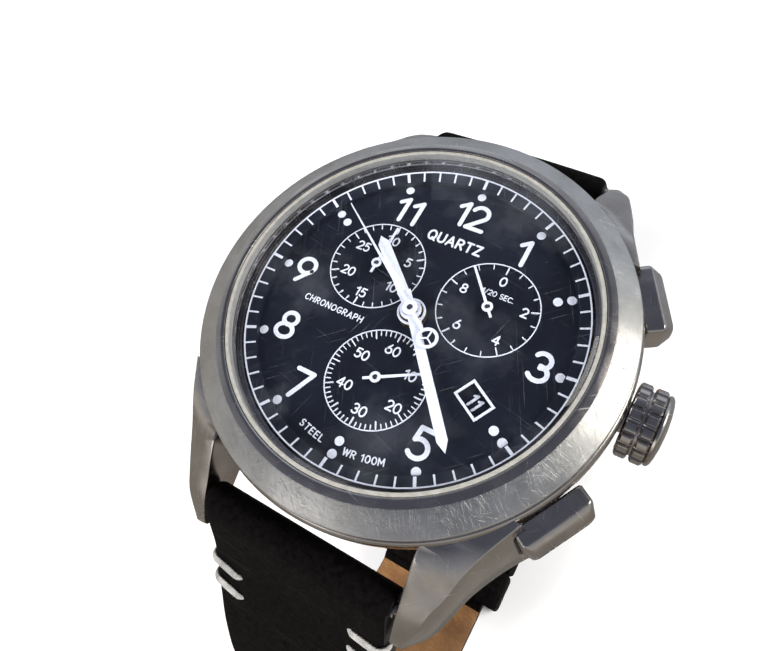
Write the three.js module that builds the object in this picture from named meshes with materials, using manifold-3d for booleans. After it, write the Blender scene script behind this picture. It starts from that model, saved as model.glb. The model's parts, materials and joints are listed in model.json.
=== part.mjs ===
// A three-register chronograph wristwatch on a leather strap. Millimetres, +Z out of the dial, +Y towards 12,
// +X towards the crown at 3. The origin is the centre of the case back's flat outer face.
import * as THREE from "three";
import { mergeVertices } from "three/addons/utils/BufferGeometryUtils.js";
import Module from "manifold-3d";

const wasm = await Module();
wasm.setup();

// Driving dimensions
const CASE_R = 21.3; // widest flank of the middle case
const BEZEL_R = 21;
const BORE_R = 17; // bore of the middle case
const DIAL_Z = 8.3; // visible face of the dial
const LUG_GAP = 21.4; // between a pair of lugs
const BAR_Y = 23.6; // spring bar axis
const BAR_Z = 3.4;
const STEM_Z = 5.6; // axis of crown and pushers
const REGISTER_R = 7.2; // small hands from the centre
const STRAP_T = [2.55, 1.2]; // half thickness of the strap at the lug and at the end
const STRAP_W = [20.8, 18]; // strap width at the lug and at the bottom of the loop
const STRAP_SKEW = 3.6; // how far the buckle end has crept towards the crown side
const FINE = 48; // segments of the large turned parts
const SMALL = 16;

// The time shown, as clockwise angles from 12
const HOUR_ANGLE = 311.6;
const MINUTE_ANGLE = 139;
const SWEEP_ANGLE = 305;
const REGISTERS = [
  { name: "counter_30min", x: -6.2, y: 3.6, angle: 0, reach: 4.5 },
  { name: "twentieths", x: 6.25, y: 3.6, angle: 319, reach: 4.65 },
  { name: "small_seconds", x: 0, y: -REGISTER_R, angle: 61, reach: 4.4 },
];

const watch = new THREE.Group();
const rad = THREE.MathUtils.degToRad;

const steel = { color: 0xb9b6ae, roughness: 0.25, metalness: 1 };
const brass = { color: 0xb99a5a, roughness: 0.35, metalness: 1 };
const white = { color: 0xe8e8e6, roughness: 0.5, metalness: 0 };
const leather = { color: 0x15130f, roughness: 0.7, metalness: 0 };
const rubber = { color: 0x1b1b1d, roughness: 0.8, metalness: 0 };

// Solids

function toSolid(geometry) {
  geometry.deleteAttribute("normal");
  geometry.deleteAttribute("uv");
  const merged = mergeVertices(geometry, 1e-4);
  const position = merged.attributes.position;
  const index = merged.index.array;
  const corner = [0, 1, 2].map(() => new THREE.Vector3());
  const triangles = [];
  let volume = 0;
  for (let i = 0; i < index.length; i += 3) {
    const [a, b, c] = [index[i], index[i + 1], index[i + 2]];
    if (a === b || b === c || a === c) continue;
    [a, b, c].forEach((v, k) => corner[k].fromBufferAttribute(position, v));
    volume += corner[0].dot(corner[1].clone().cross(corner[2]));
    triangles.push(a, b, c);
  }
  if (volume < 0) triangles.reverse();
  const mesh = new wasm.Mesh({
    numProp: 3,
    vertProperties: new Float32Array(position.array),
    triVerts: new Uint32Array(triangles),
  });
  return new wasm.Manifold(mesh);
}

function addPiece(name, solid, finish) {
  const mesh = solid.getMesh();
  const geometry = new THREE.BufferGeometry();
  geometry.setAttribute("position", new THREE.BufferAttribute(mesh.vertProperties, 3));
  geometry.setIndex(new THREE.BufferAttribute(mesh.triVerts, 1));
  geometry.computeVertexNormals();
  const piece = new THREE.Mesh(geometry, new THREE.MeshStandardMaterial(finish));
  piece.name = name;
  watch.add(piece);
}

// A profile of [radius, height] pairs turned about Z
function turned(profile, segments = FINE) {
  const points = profile.map(([r, z]) => new THREE.Vector2(r, z));
  const onAxis = profile[0][0] === 0 && profile[profile.length - 1][0] === 0;
  if (!onAxis) points.push(points[0].clone());
  return toSolid(new THREE.LatheGeometry(points, segments).rotateX(Math.PI / 2));
}

function tube(inner, outer, low, high, segments = SMALL) {
  return turned([[inner, low], [outer, low], [outer, high], [inner, high]], segments);
}

function rod(radius, low, high, segments = SMALL) {
  return turned([[0, low], [radius, low], [radius, high], [0, high]], segments);
}

function block(x, y, z) {
  const size = [x[1] - x[0], y[1] - y[0], z[1] - z[0]];
  const box = new THREE.BoxGeometry(...size);
  return toSolid(box.translate((x[0] + x[1]) / 2, (y[0] + y[1]) / 2, (z[0] + z[1]) / 2));
}

function outline(points) {
  return new THREE.Shape(points.map(([x, y]) => new THREE.Vector2(x, y)));
}

function plate(shape, low, high) {
  const geometry = new THREE.ExtrudeGeometry(shape, { depth: high - low, bevelEnabled: false, curveSegments: 3 });
  return toSolid(geometry.translate(0, 0, low));
}

function roundedRect(width, height, radius) {
  const [w, h] = [width / 2, height / 2];
  const shape = new THREE.Shape();
  shape.moveTo(-w + radius, -h);
  shape.lineTo(w - radius, -h);
  shape.absarc(w - radius, -h + radius, radius, -Math.PI / 2, 0);
  shape.lineTo(w, h - radius);
  shape.absarc(w - radius, h - radius, radius, 0, Math.PI / 2);
  shape.lineTo(-w + radius, h);
  shape.absarc(-w + radius, h - radius, radius, Math.PI / 2, Math.PI);
  shape.lineTo(-w, -h + radius);
  shape.absarc(-w + radius, -h + radius, radius, Math.PI, 1.5 * Math.PI);
  return shape;
}

// Turns a solid that runs along +Z so that it points outwards at an angle in the plane of the stem
function radial(solid, degrees) {
  return solid.rotate([0, 90, 0]).rotate([0, 0, degrees]).translate([0, 0, STEM_Z]);
}

// A gear with straight-sided teeth, one of them pointing at +X before it is turned
function gear(teeth, module, low, high, turn = 0) {
  const pitch = (teeth * module) / 2;
  const points = [];
  for (let i = 0; i < teeth; i++) {
    const at = (i / teeth) * 2 * Math.PI + rad(turn);
    const step = (2 * Math.PI) / teeth;
    const corners = [[-0.26, -1.15], [-0.12, 0.85], [0.12, 0.85], [0.26, -1.15]];
    for (const [along, out] of corners) {
      const r = pitch + out * module;
      points.push([r * Math.cos(at + along * step), r * Math.sin(at + along * step)]);
    }
  }
  return plate(outline(points), low, high);
}

// Case

const LUG_LEAN = 0.04; // share of a lug's width lost for each millimetre of height

// One lug: the side profile and the plan, which narrows upwards, cross each other
function lug(sideX, sideY) {
  const side = outline([
    [13, 1.6], [20.5, 1.2], [23.6, 0.25], [25.4, 0.15], [26.2, 0.9], [26.1, 1.7], [24.7, 3.4],
    [23, 5], [21.2, 6.7], [19.2, 8.4], [17.5, 8.95], [13, 9],
  ]);
  const profile = plate(side, 9, 20).rotate([90, 0, 90]);
  const plan = outline([
    [LUG_GAP / 2, 12], [19.6, 12], [17.7, 15.6], [16, 18.6], [14.95, 21], [14.2, 23.2], [13.1, 25.2],
    [12, 26.3], [LUG_GAP / 2, 26.4],
  ]);
  const prism = new THREE.ExtrudeGeometry(plan, { depth: 10, bevelEnabled: false });
  const p = prism.attributes.position;
  for (let i = 0; i < p.count; i++) {
    const width = p.getX(i) - LUG_GAP / 2;
    p.setX(i, LUG_GAP / 2 + width * (1 - LUG_LEAN * p.getZ(i)));
  }
  const body = toSolid(prism).intersect(profile);
  return body.scale([sideX, sideY, 1]);
}

function midCase() {
  let body = turned([
    [15, 1], [19.2, 1], [20.2, 1.7], [20.8, 3.2], [21.1, 5.6], [CASE_R, 7.6], [CASE_R, 8.7], [21, 9.1], [15, 9.1],
  ], FINE);
  for (const x of [-1, 1]) {
    for (const y of [-1, 1]) body = body.add(lug(x, y));
  }
  body = body.subtract(rod(BORE_R, 0, 10, FINE));
  body = body.subtract(tube(17.1, 18, 0.5, 1.55, FINE)); // gasket groove
  for (const y of [-BAR_Y, BAR_Y]) {
    const hole = rod(0.6, -12, 12, 12).rotate([0, 90, 0]).translate([0, y, BAR_Z]);
    body = body.subtract(hole);
  }
  body = body.subtract(radial(rod(1.65, 14, 24), 0));
  for (const angle of [-30, 30]) {
    body = body.subtract(radial(rod(1.45, 14, 24), angle));
    body = body.subtract(radial(plate(roundedRect(4.5, 7.6, 0.9), 20.2, 24), angle));
  }
  return body;
}

addPiece("mid_case", midCase(), steel);
addPiece("bezel", turned([
  [17.25, 9.25], [20.65, 9.25], [BEZEL_R, 9.55], [BEZEL_R, 9.95], [18.75, 11.2], [17.98, 11.45],
  [17.85, 11.3], [17.85, 10.35], [17.25, 10.35],
]), steel);
addPiece("crystal", turned([
  [0, 10.5], [17.35, 10.5], [17.35, 11.3], [16.9, 11.5], [12, 11.85], [6, 12.05], [0, 12.1],
]), { color: 0xffffff, roughness: 0.05, metalness: 0, transparent: true, opacity: 0.2 });
addPiece("crystal_gasket", tube(17.45, 17.75, 10.45, 11.2, FINE), white);
addPiece("chapter_ring", turned([
  [15.55, 8.42], [16.85, 8.42], [16.85, 9.27], [16.6, 9.25], [15.55, 8.95],
]), rubber);

function dial() {
  let disc = rod(16.7, DIAL_Z - 0.4, DIAL_Z, FINE).subtract(rod(1.5, 7, 9));
  for (const register of REGISTERS) {
    disc = disc.subtract(rod(0.5, 7, 9, 12).translate([register.x, register.y, 0]));
  }
  const window = block([-1.45, 1.45], [-0.95, 0.95], [7, 9]).rotate([0, 0, -30]);
  return disc.subtract(window.translate([9.2, -5.15, 0]));
}
addPiece("dial", dial(), { color: 0x12141c, roughness: 0.6, metalness: 0.1 });

addPiece("case_back", turned([
  [0, 0], [17.6, 0], [18.3, 0.4], [18.3, 0.85], [16.75, 0.85], [16.75, 1.9], [15.6, 1.9], [15.6, 0.95], [0, 0.95],
]), steel);
addPiece("case_back_gasket", tube(17.25, 17.85, 0.98, 1.42, FINE), rubber);

// Strap bars

for (const [name, y] of [["spring_bar_12", BAR_Y], ["spring_bar_6", -BAR_Y]]) {
  const bar = turned([
    [0, -11.6], [0.4, -11.6], [0.4, -10.5], [0.75, -10.5], [0.75, 10.5], [0.4, 10.5], [0.4, 11.6], [0, 11.6],
  ], 12);
  addPiece(name, bar.rotate([0, 90, 0]).translate([0, y, BAR_Z]), steel);
}

// Movement

function holder() {
  let ring = tube(14.8, 16.75, 2.1, 7.6, 48);
  for (const angle of [-30, 0, 30]) ring = ring.subtract(radial(rod(1.5, 13, 18), angle));
  return ring;
}
addPiece("movement_holder", holder(), white);

const WHEEL_ANGLE = 25; // where the minute wheel sits round the centre
const WHEEL_DISTANCE = 2.88;
const wheelPlace = [
  WHEEL_DISTANCE * Math.cos(rad(WHEEL_ANGLE)),
  WHEEL_DISTANCE * Math.sin(rad(WHEEL_ANGLE)),
  0,
];

function mainPlate() {
  let disc = rod(14.55, 6.4, 7, 48).subtract(rod(0.55, 6, 8, 16));
  for (const register of REGISTERS) {
    disc = disc.subtract(rod(0.5, 6, 8, 12).translate([register.x, register.y, 0]));
  }
  disc = disc.subtract(block([5.2, 9.4], [-1.5, 1.5], [6, 6.8]));
  return disc.add(rod(0.25, 6.9, 7.8, 12).translate(wheelPlace));
}
addPiece("main_plate", mainPlate(), brass);

function circuitBoard() {
  const disc = rod(14.2, 3, 3.4, 48);
  return disc.subtract(rod(5.4, 2, 4, 32).translate([-7, -5.5, 0])).subtract(rod(1, 2, 4));
}
addPiece("circuit_board", circuitBoard(), { color: 0x2c5a34, roughness: 0.6, metalness: 0 });
addPiece("battery", turned([
  [0, 2.2], [4.2, 2.2], [4.2, 2.5], [4.75, 2.5], [4.75, 4.3], [0, 4.3],
], 32).translate([-7, -5.5, 0]), steel);
addPiece("battery_clamp", block([-12.4, -1.6], [-6.5, -4.5], [4.45, 4.7]), steel);

// Each stepping motor's coil lies flat on two end blocks of its core
function coil(x, y, turn) {
  const winding = rod(0.95, -3, 3, 16).rotate([0, 90, 0]);
  const ends = [[-4.2, -3.1], [3.1, 4.2]].map((span) => block(span, [-1.2, 1.2], [-0.9, 0.9]));
  const core = block([-3.5, 3.5], [-0.4, 0.4], [-0.4, 0.4]);
  return winding.add(core).add(ends[0]).add(ends[1]).rotate([0, 0, turn]).translate([x, y, 4.9]);
}
const copper = { color: 0x9c5a34, roughness: 0.4, metalness: 0.8 };
addPiece("time_coil", coil(2.5, -10.4, 12), copper);
addPiece("chronograph_coil", coil(4.8, 9.6, -20), copper);
addPiece("counter_coil", coil(-8.2, 7.6, 40), copper);
const quartz = rod(0.9, -2.8, 2.8, 16).rotate([0, 90, 0]).rotate([0, 0, -50]);
addPiece("quartz_can", quartz.translate([8.6, -6.2, 4.7]), steel);

addPiece("date_ring", tube(8.9, 12.1, 7.45, 7.7, 48), white);

// Motion work: the cannon pinion turns with the minute hand, the hour wheel follows at one twelfth

const TEETH = { cannon: 8, minute: 24, pinion: 8, hour: 32 };
const LOW_MODULE = (2 * WHEEL_DISTANCE) / (TEETH.cannon + TEETH.minute);
const HIGH_MODULE = (2 * WHEEL_DISTANCE) / (TEETH.pinion + TEETH.hour);
const halfTooth = { minute: 180 / TEETH.minute, pinion: 180 / TEETH.pinion };

const cannon = gear(TEETH.cannon, LOW_MODULE, 7.2, 7.5, WHEEL_ANGLE).add(rod(0.65, 7.45, 9.8));
addPiece("cannon_pinion", cannon.subtract(rod(0.4, 7, 10)), brass);
const wheel = gear(TEETH.minute, LOW_MODULE, 7.2, 7.5, WHEEL_ANGLE + 180 + halfTooth.minute);
const pinion = gear(TEETH.pinion, HIGH_MODULE, 7.4, 7.85, WHEEL_ANGLE + 180 + halfTooth.pinion);
const minuteWheel = wheel.add(pinion).subtract(rod(0.35, 7, 8, 12));
addPiece("minute_wheel", minuteWheel.translate(wheelPlace), brass);
const hourGear = gear(TEETH.hour, HIGH_MODULE, 7.6, 7.85, WHEEL_ANGLE).add(tube(0.78, 1.1, 7.6, 9.35));
addPiece("hour_wheel", hourGear.subtract(rod(0.78, 7, 10)), brass);

// Hands. Each is drawn pointing at 12 and turned clockwise.

function hand(points, low, high, hub, hole, angle) {
  let body = plate(outline(points), low, high).add(rod(hub, low, high));
  if (hole > 0) body = body.subtract(rod(hole, low - 1, high + 1, 16));
  return body.rotate([0, 0, -angle]);
}

addPiece("hour_hand", hand(
  [[-0.5, -1.9], [0.5, -1.9], [0.58, 0], [0.62, 8.5], [0, 9.6], [-0.62, 8.5], [-0.58, 0]],
  9.05, 9.28, 1.4, 1.18, HOUR_ANGLE,
), white);
addPiece("minute_hand", hand(
  [[-0.45, -2.2], [0.45, -2.2], [0.5, 0], [0.5, 13.2], [0, 14.3], [-0.5, 13.2], [-0.5, 0]],
  9.5, 9.7, 1.05, 0.72, MINUTE_ANGLE,
), white);

function sweepHand() {
  const ring = tube(0.75, 1.05, 9.95, 10.13).translate([0, -3.7, 0]);
  const needle = outline([[-0.2, -2.7], [0.2, -2.7], [0.15, 7], [0.06, 14.45], [-0.06, 14.45], [-0.15, 7]]);
  return plate(needle, 9.95, 10.13).add(ring).add(rod(0.75, 9.95, 10.13)).rotate([0, 0, -SWEEP_ANGLE]);
}
addPiece("sweep_hand", sweepHand().subtract(rod(0.3, 9, 11, 12)), white);
addPiece("sweep_arbor", turned([
  [0, 4], [0.25, 4], [0.25, 4.9], [2.4, 4.9], [2.4, 5.2], [0.25, 5.2], [0.25, 10.2], [0, 10.2],
], 16), steel);

for (const { name, x, y, angle, reach } of REGISTERS) {
  const needle = [[-0.13, -1.2], [0.13, -1.2], [0.16, 0], [0.14, reach], [-0.14, reach], [-0.16, 0]];
  const pointer = hand(needle, DIAL_Z + 0.35, DIAL_Z + 0.5, 0.55, 0.27, angle);
  addPiece(`${name}_hand`, pointer.translate([x, y, 0]), white);
  const arbor = turned([
    [0, 5.4], [2.2, 5.4], [2.2, 5.75], [0.22, 5.75], [0.22, 8.85], [0, 8.85],
  ], 16);
  addPiece(`${name}_arbor`, arbor.translate([x, y, 0]), steel);
}

// Crown and its stem. The stem's square slides through the setting pinion and turns it.

addPiece("crown_tube", radial(tube(0.95, 1.5, 17.2, 22), 0), steel);

function crown() {
  const teeth = 18;
  const knurl = [];
  for (let i = 0; i < teeth; i++) {
    const step = (2 * Math.PI) / teeth;
    for (const [along, r] of [[-0.3, 3.5], [0.3, 3.5], [0.42, 3.1], [0.58, 3.1]]) {
      knurl.push([r * Math.cos((i + along) * step), r * Math.sin((i + along) * step)]);
    }
  }
  const grip = plate(outline(knurl), 21.35, 24.1);
  const dome = turned([[0, 24], [3.3, 24], [3.2, 24.45], [2.3, 24.8], [0, 24.95]]);
  const hollow = rod(2.35, 21, 23);
  const thread = rod(0.72, 22, 24.2, 16);
  return grip.add(dome).subtract(hollow).subtract(thread);
}
addPiece("crown", radial(crown(), 0), steel);
addPiece("crown_gasket", radial(tube(1.65, 2.2, 22.25, 22.75), 0), rubber);
const square = block([-0.38, 0.38], [-0.38, 0.38], [4.4, 10]);
addPiece("stem", radial(rod(0.6, 9.9, 24, 16).add(square), 0), steel);
addPiece("setting_pinion", radial(
  rod(0.95, 6.2, 8.2).subtract(block([-0.53, 0.53], [-0.53, 0.53], [5, 9])), 0,
), steel);

// Pushers

class Helix extends THREE.Curve {
  constructor(radius, low, high, turns) {
    super();
    Object.assign(this, { radius, low, high, turns });
  }

  getPoint(t) {
    const angle = t * this.turns * 2 * Math.PI;
    const z = this.low + t * (this.high - this.low);
    return new THREE.Vector3(this.radius * Math.cos(angle), this.radius * Math.sin(angle), z);
  }
}

function pusher() {
  const face = roundedRect(3, 6, 0.3);
  const bevel = { depth: 1.5, bevelSize: 0.55, bevelThickness: 0.7, bevelSegments: 2, curveSegments: 3 };
  const cap = toSolid(new THREE.ExtrudeGeometry(face, bevel).translate(0, 0, 22));
  const pocket = rod(1.75, 21, 22.95, 16);
  const shaft = turned([[0, 14.9], [0.7, 14.9], [0.7, 23.3], [0, 23.3]], 16);
  return cap.subtract(pocket).add(shaft);
}

for (const [name, angle] of [["upper", 30], ["lower", -30]]) {
  addPiece(`pusher_${name}`, radial(pusher(), angle), steel);
  addPiece(`pusher_tube_${name}`, radial(tube(0.9, 1.3, 16.9, 19.9, 16), angle), steel);
  const wire = new THREE.Shape().absarc(0, 0, 0.14, 0, 2 * Math.PI);
  const path = { steps: 28, extrudePath: new Helix(1.25, 20.75, 22.6, 2.5), curveSegments: 2 };
  addPiece(`pusher_spring_${name}`, radial(toSolid(new THREE.ExtrudeGeometry(wire, path)), angle), steel);
  addPiece(`pusher_clip_${name}`, radial(tube(0.8, 1.25, 15.9, 16.2, 16), angle), steel);
}

// Strap. Each half's middle line is drawn in the YZ plane, with y counted outwards from its own side.

const SHARED_LINE = [[BAR_Y, BAR_Z], [26.3, -2.3], [30.3, -8.2], [33.9, -13.3]];
const BUCKLE_LINE = [
  ...SHARED_LINE, [37.4, -19.2], [40, -26], [40.6, -32], [39, -38.8], [35, -44.8], [28.8, -49.2], [21, -51],
  [14, -51.3], [6, -51.3], [-1, -51.3],
];
const TAIL_LINE = [
  ...SHARED_LINE, [38.4, -19.4], [43, -25.5], [46.6, -32], [48, -39], [46.2, -46], [41, -51.6], [34, -54.9],
  [26, -55.9], [16.5, -55.9],
];

// Points of the line with the unit vector that faces out of the loop and the distance along it
function stations(line, count) {
  const curve = new THREE.SplineCurve(line.map(([y, z]) => new THREE.Vector2(y, z)));
  const length = curve.getLength();
  return Array.from({ length: count }, (_, i) => {
    const t = i / (count - 1);
    const along = curve.getTangentAt(t);
    return { at: curve.getPointAt(t), out: new THREE.Vector2(-along.y, along.x), s: t * length };
  });
}

function strapHalf(line, tab, skew) {
  const places = stations(line, 30);
  const end = places[places.length - 1].s;
  const outer = [];
  const inner = [];
  for (const { at, out, s } of places) {
    const fade = Math.exp(-Math.max(0, s - 4) / 22);
    const half = STRAP_T[1] + (STRAP_T[0] - STRAP_T[1]) * fade;
    const fold = end - s < tab ? 1.3 : 0;
    outer.push([at.x + out.x * half, at.y + out.y * half]);
    inner.push([at.x - out.x * (half + fold), at.y - out.y * (half + fold)]);
  }
  const shape = outline([...outer, ...inner.reverse()]);
  const width = STRAP_W[0];
  let body = plate(shape, -width / 2, width / 2).rotate([90, 0, 90]);
  const barrel = rod(STRAP_T[0], -width / 2, width / 2).rotate([0, 90, 0]).translate([0, BAR_Y, BAR_Z]);
  const bore = rod(1, -15, 15, 16).rotate([0, 90, 0]).translate([0, BAR_Y, BAR_Z]);
  body = body.add(barrel).subtract(bore);
  return body.warp((v) => {
    const depth = THREE.MathUtils.smoothstep(-v[2], 2, 50);
    v[0] = v[0] * (1 + depth * (STRAP_W[1] / STRAP_W[0] - 1)) + skew * depth;
  });
}

const tail = strapHalf(TAIL_LINE, 0, 0);
const TIP = { y: 16.5, length: 10, holes: 6, pitch: 6.5, first: 17 };

function tailHoles(body) {
  const places = stations(TAIL_LINE, 200);
  const end = places[places.length - 1].s;
  let result = body;
  for (let i = 0; i < TIP.holes; i++) {
    const place = places.find(({ s }) => s >= end - TIP.first - i * TIP.pitch);
    const angle = THREE.MathUtils.radToDeg(Math.atan2(place.out.y, place.out.x));
    const punch = rod(0.9, -4, 4, 12).rotate([0, 90, 0]).rotate([0, 0, angle]).rotate([90, 0, 90]);
    result = result.subtract(punch.translate([0, place.at.x, place.at.y]));
  }
  return result;
}

function tipShape() {
  const half = STRAP_W[1] / 2;
  const root = TIP.y + TIP.length;
  const curve = new THREE.Shape();
  curve.moveTo(-half - 1, 60);
  curve.lineTo(-half - 1, root);
  curve.lineTo(-half, root);
  curve.bezierCurveTo(-half, root - 7, -5, TIP.y + 0.2, 0, TIP.y + 0.2);
  curve.bezierCurveTo(5, TIP.y + 0.2, half, root - 7, half, root);
  curve.lineTo(half + 1, root);
  curve.lineTo(half + 1, 60);
  return plate(curve, -59, -53);
}

// The tip is cut to its point inside the flat stretch, and the rest of the half is left as it is
function pointedTail() {
  const zone = block([-15, 20], [0, TIP.y + TIP.length + 2], [-59, -53]);
  return tailHoles(tail.subtract(zone.subtract(tipShape())));
}

addPiece("strap_tail", pointedTail(), leather);

const BUCKLE_BAR = { y: -3.2, z: -51.3 };
const buckleHalf = strapHalf(BUCKLE_LINE, 22, STRAP_SKEW);

function buckleStrap() {
  const eye = rod(2.1, -9, 9).rotate([0, 90, 0]).translate([STRAP_SKEW, BUCKLE_BAR.y, BUCKLE_BAR.z]);
  const bore = rod(1, -15, 15, 16).rotate([0, 90, 0]).translate([STRAP_SKEW, BUCKLE_BAR.y, BUCKLE_BAR.z]);
  const web = block([-9 + STRAP_SKEW, 9 + STRAP_SKEW], [BUCKLE_BAR.y + 0.4, 0], [-52.4, -50]);
  const slot = block([STRAP_SKEW - 1.7, STRAP_SKEW + 1.7], [BUCKLE_BAR.y - 5, 1.2], [-60, -45]);
  return buckleHalf.add(eye).add(web).subtract(bore).subtract(slot).mirror([0, 1, 0]);
}
addPiece("strap_buckle_half", buckleStrap(), leather);

// A leather band round the strap, with room for the tail on its outer side
function keeper(y, width) {
  const outer = roundedRect(22.2, 9.95, 1.2);
  const inner = roundedRect(19.8, 7.65, 0.6);
  const band = plate(outer, -width / 2, width / 2).subtract(plate(inner, -width, width));
  return band.rotate([90, 0, 0]).translate([STRAP_SKEW, -y, -52.2]);
}
addPiece("fixed_keeper", keeper(10, 6.4), leather);
addPiece("sliding_keeper", keeper(16.4, 6), leather);

function buckleFrame() {
  const outer = plate(roundedRect(24.4, 13.4, 2.4), -1, 1);
  const inner = plate(roundedRect(20.4, 9.2, 1), -2, 2);
  const back = block([-10.2, 10.2], [-7, -4.6], [-2, 2]);
  const frame = outer.subtract(inner).subtract(back).translate([0, -BUCKLE_BAR.y + 4.9, 0]);
  const pin = rod(0.55, -11.5, 11.5, 12).rotate([0, 90, 0]).translate([0, -BUCKLE_BAR.y, 0]);
  return frame.subtract(pin).translate([STRAP_SKEW, 0, BUCKLE_BAR.z]);
}
addPiece("buckle_frame", buckleFrame(), steel);
const pivot = rod(0.45, -11.4, 11.4, 12).rotate([0, 90, 0]);
addPiece("buckle_bar", pivot.translate([STRAP_SKEW, -BUCKLE_BAR.y, BUCKLE_BAR.z]), steel);

function tongue() {
  const eye = tube(0.6, 1.35, -1.2, 1.2, 16).rotate([0, 90, 0]).translate([0, -BUCKLE_BAR.y, 0]);
  const arm = block([-1.1, 1.1], [-BUCKLE_BAR.y + 0.5, 14.4], [-1.75, -1.25]);
  const root = block([-1.1, 1.1], [-BUCKLE_BAR.y - 0.3, -BUCKLE_BAR.y + 1.4], [-1.75, -0.8]);
  return arm.add(root).add(eye).subtract(rod(0.6, -5, 5, 16).rotate([0, 90, 0]).translate([0, -BUCKLE_BAR.y, 0]))
    .translate([STRAP_SKEW, 0, BUCKLE_BAR.z]);
}
addPiece("buckle_tongue", tongue(), steel);

export default watch;
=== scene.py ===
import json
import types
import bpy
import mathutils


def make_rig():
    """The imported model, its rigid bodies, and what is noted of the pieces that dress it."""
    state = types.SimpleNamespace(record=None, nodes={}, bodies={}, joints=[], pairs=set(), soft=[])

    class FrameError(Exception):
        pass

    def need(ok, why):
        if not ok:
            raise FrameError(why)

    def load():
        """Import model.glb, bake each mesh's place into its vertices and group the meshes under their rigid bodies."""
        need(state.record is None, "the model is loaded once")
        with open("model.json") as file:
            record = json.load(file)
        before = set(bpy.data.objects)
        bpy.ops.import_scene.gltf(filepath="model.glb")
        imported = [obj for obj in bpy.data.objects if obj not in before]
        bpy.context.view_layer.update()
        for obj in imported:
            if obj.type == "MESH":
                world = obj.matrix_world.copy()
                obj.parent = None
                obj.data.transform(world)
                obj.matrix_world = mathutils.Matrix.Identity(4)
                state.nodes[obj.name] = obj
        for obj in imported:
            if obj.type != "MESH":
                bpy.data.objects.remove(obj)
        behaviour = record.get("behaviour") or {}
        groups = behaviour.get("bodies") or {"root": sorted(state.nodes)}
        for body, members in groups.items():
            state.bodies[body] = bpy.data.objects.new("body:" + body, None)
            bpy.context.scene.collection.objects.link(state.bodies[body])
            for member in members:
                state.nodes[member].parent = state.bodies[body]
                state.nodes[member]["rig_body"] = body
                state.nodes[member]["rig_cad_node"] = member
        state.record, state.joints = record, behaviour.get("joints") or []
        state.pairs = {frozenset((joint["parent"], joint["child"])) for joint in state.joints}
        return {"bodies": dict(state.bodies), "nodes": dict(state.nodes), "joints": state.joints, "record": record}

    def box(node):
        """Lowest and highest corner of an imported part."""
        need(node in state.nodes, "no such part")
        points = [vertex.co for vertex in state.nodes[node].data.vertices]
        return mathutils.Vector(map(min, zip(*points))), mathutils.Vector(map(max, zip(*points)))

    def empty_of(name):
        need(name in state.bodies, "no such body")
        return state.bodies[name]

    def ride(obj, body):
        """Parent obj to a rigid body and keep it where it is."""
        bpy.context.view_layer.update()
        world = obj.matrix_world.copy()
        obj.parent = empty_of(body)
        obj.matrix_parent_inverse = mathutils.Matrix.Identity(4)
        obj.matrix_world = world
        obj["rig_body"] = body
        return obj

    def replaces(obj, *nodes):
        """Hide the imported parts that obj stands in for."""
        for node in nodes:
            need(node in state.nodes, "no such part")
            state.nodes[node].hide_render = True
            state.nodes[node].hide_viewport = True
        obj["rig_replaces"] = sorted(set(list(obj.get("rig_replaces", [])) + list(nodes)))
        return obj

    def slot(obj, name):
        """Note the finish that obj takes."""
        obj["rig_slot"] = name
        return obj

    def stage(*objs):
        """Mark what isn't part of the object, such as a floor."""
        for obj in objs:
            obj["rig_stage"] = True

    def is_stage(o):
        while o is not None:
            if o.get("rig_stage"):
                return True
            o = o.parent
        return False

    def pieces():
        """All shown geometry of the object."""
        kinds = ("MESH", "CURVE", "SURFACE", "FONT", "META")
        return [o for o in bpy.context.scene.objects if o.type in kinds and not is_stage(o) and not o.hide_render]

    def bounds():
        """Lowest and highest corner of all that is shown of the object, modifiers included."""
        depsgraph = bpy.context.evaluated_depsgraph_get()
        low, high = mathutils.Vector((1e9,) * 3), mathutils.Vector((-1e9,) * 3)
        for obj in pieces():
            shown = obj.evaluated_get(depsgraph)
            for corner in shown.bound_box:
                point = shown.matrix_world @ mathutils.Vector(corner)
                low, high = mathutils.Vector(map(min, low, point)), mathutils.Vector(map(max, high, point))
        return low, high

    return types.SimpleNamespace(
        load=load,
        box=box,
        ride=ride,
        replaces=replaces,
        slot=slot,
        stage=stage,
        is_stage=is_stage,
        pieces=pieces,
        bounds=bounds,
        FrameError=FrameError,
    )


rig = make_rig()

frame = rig.load()

import json
import math

import bmesh
import bpy
from mathutils import Matrix, Vector

cad_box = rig.bounds()
MM = 0.001

# Driving dimensions in millimetres, in the frame's axes: +Z out of the dial, +Y to 12, +X to the crown
DIAL_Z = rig.box("dial")[1][2] / MM
BEZEL_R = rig.box("bezel")[1][0] / MM
LOWEST = cad_box[0][2] / MM
BAR_Y = 23.6
BAR_Z = 3.4
STEM_Z = 5.6
LUG_GAP = 21.4
CASE_R = 21.3
PUSHER_ANGLES = {"upper": 30.0, "lower": -30.0}
STRAP_SKEW = 3.6
HOUR_ANGLE = 311.6
MINUTE_ANGLE = 139.0
SWEEP_ANGLE = 305.0


# ---------------------------------------------------------------- mesh helpers

def solid_mesh(name, verts, faces):
    """A mesh from vertices in millimetres, with its doubled vertices joined and its faces outwards."""
    mesh = bpy.data.meshes.new(name)
    mesh.from_pydata([Vector(v) * MM for v in verts], [], faces)
    bm = bmesh.new()
    bm.from_mesh(mesh)
    bmesh.ops.remove_doubles(bm, verts=bm.verts, dist=1e-7)
    bmesh.ops.recalc_face_normals(bm, faces=bm.faces)
    bm.to_mesh(mesh)
    bm.free()
    return mesh


def mark_sharp(obj, angle):
    obj.data.polygons.foreach_set("use_smooth", [True] * len(obj.data.polygons))
    obj.data.set_sharp_from_angle(angle=math.radians(angle))


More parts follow.
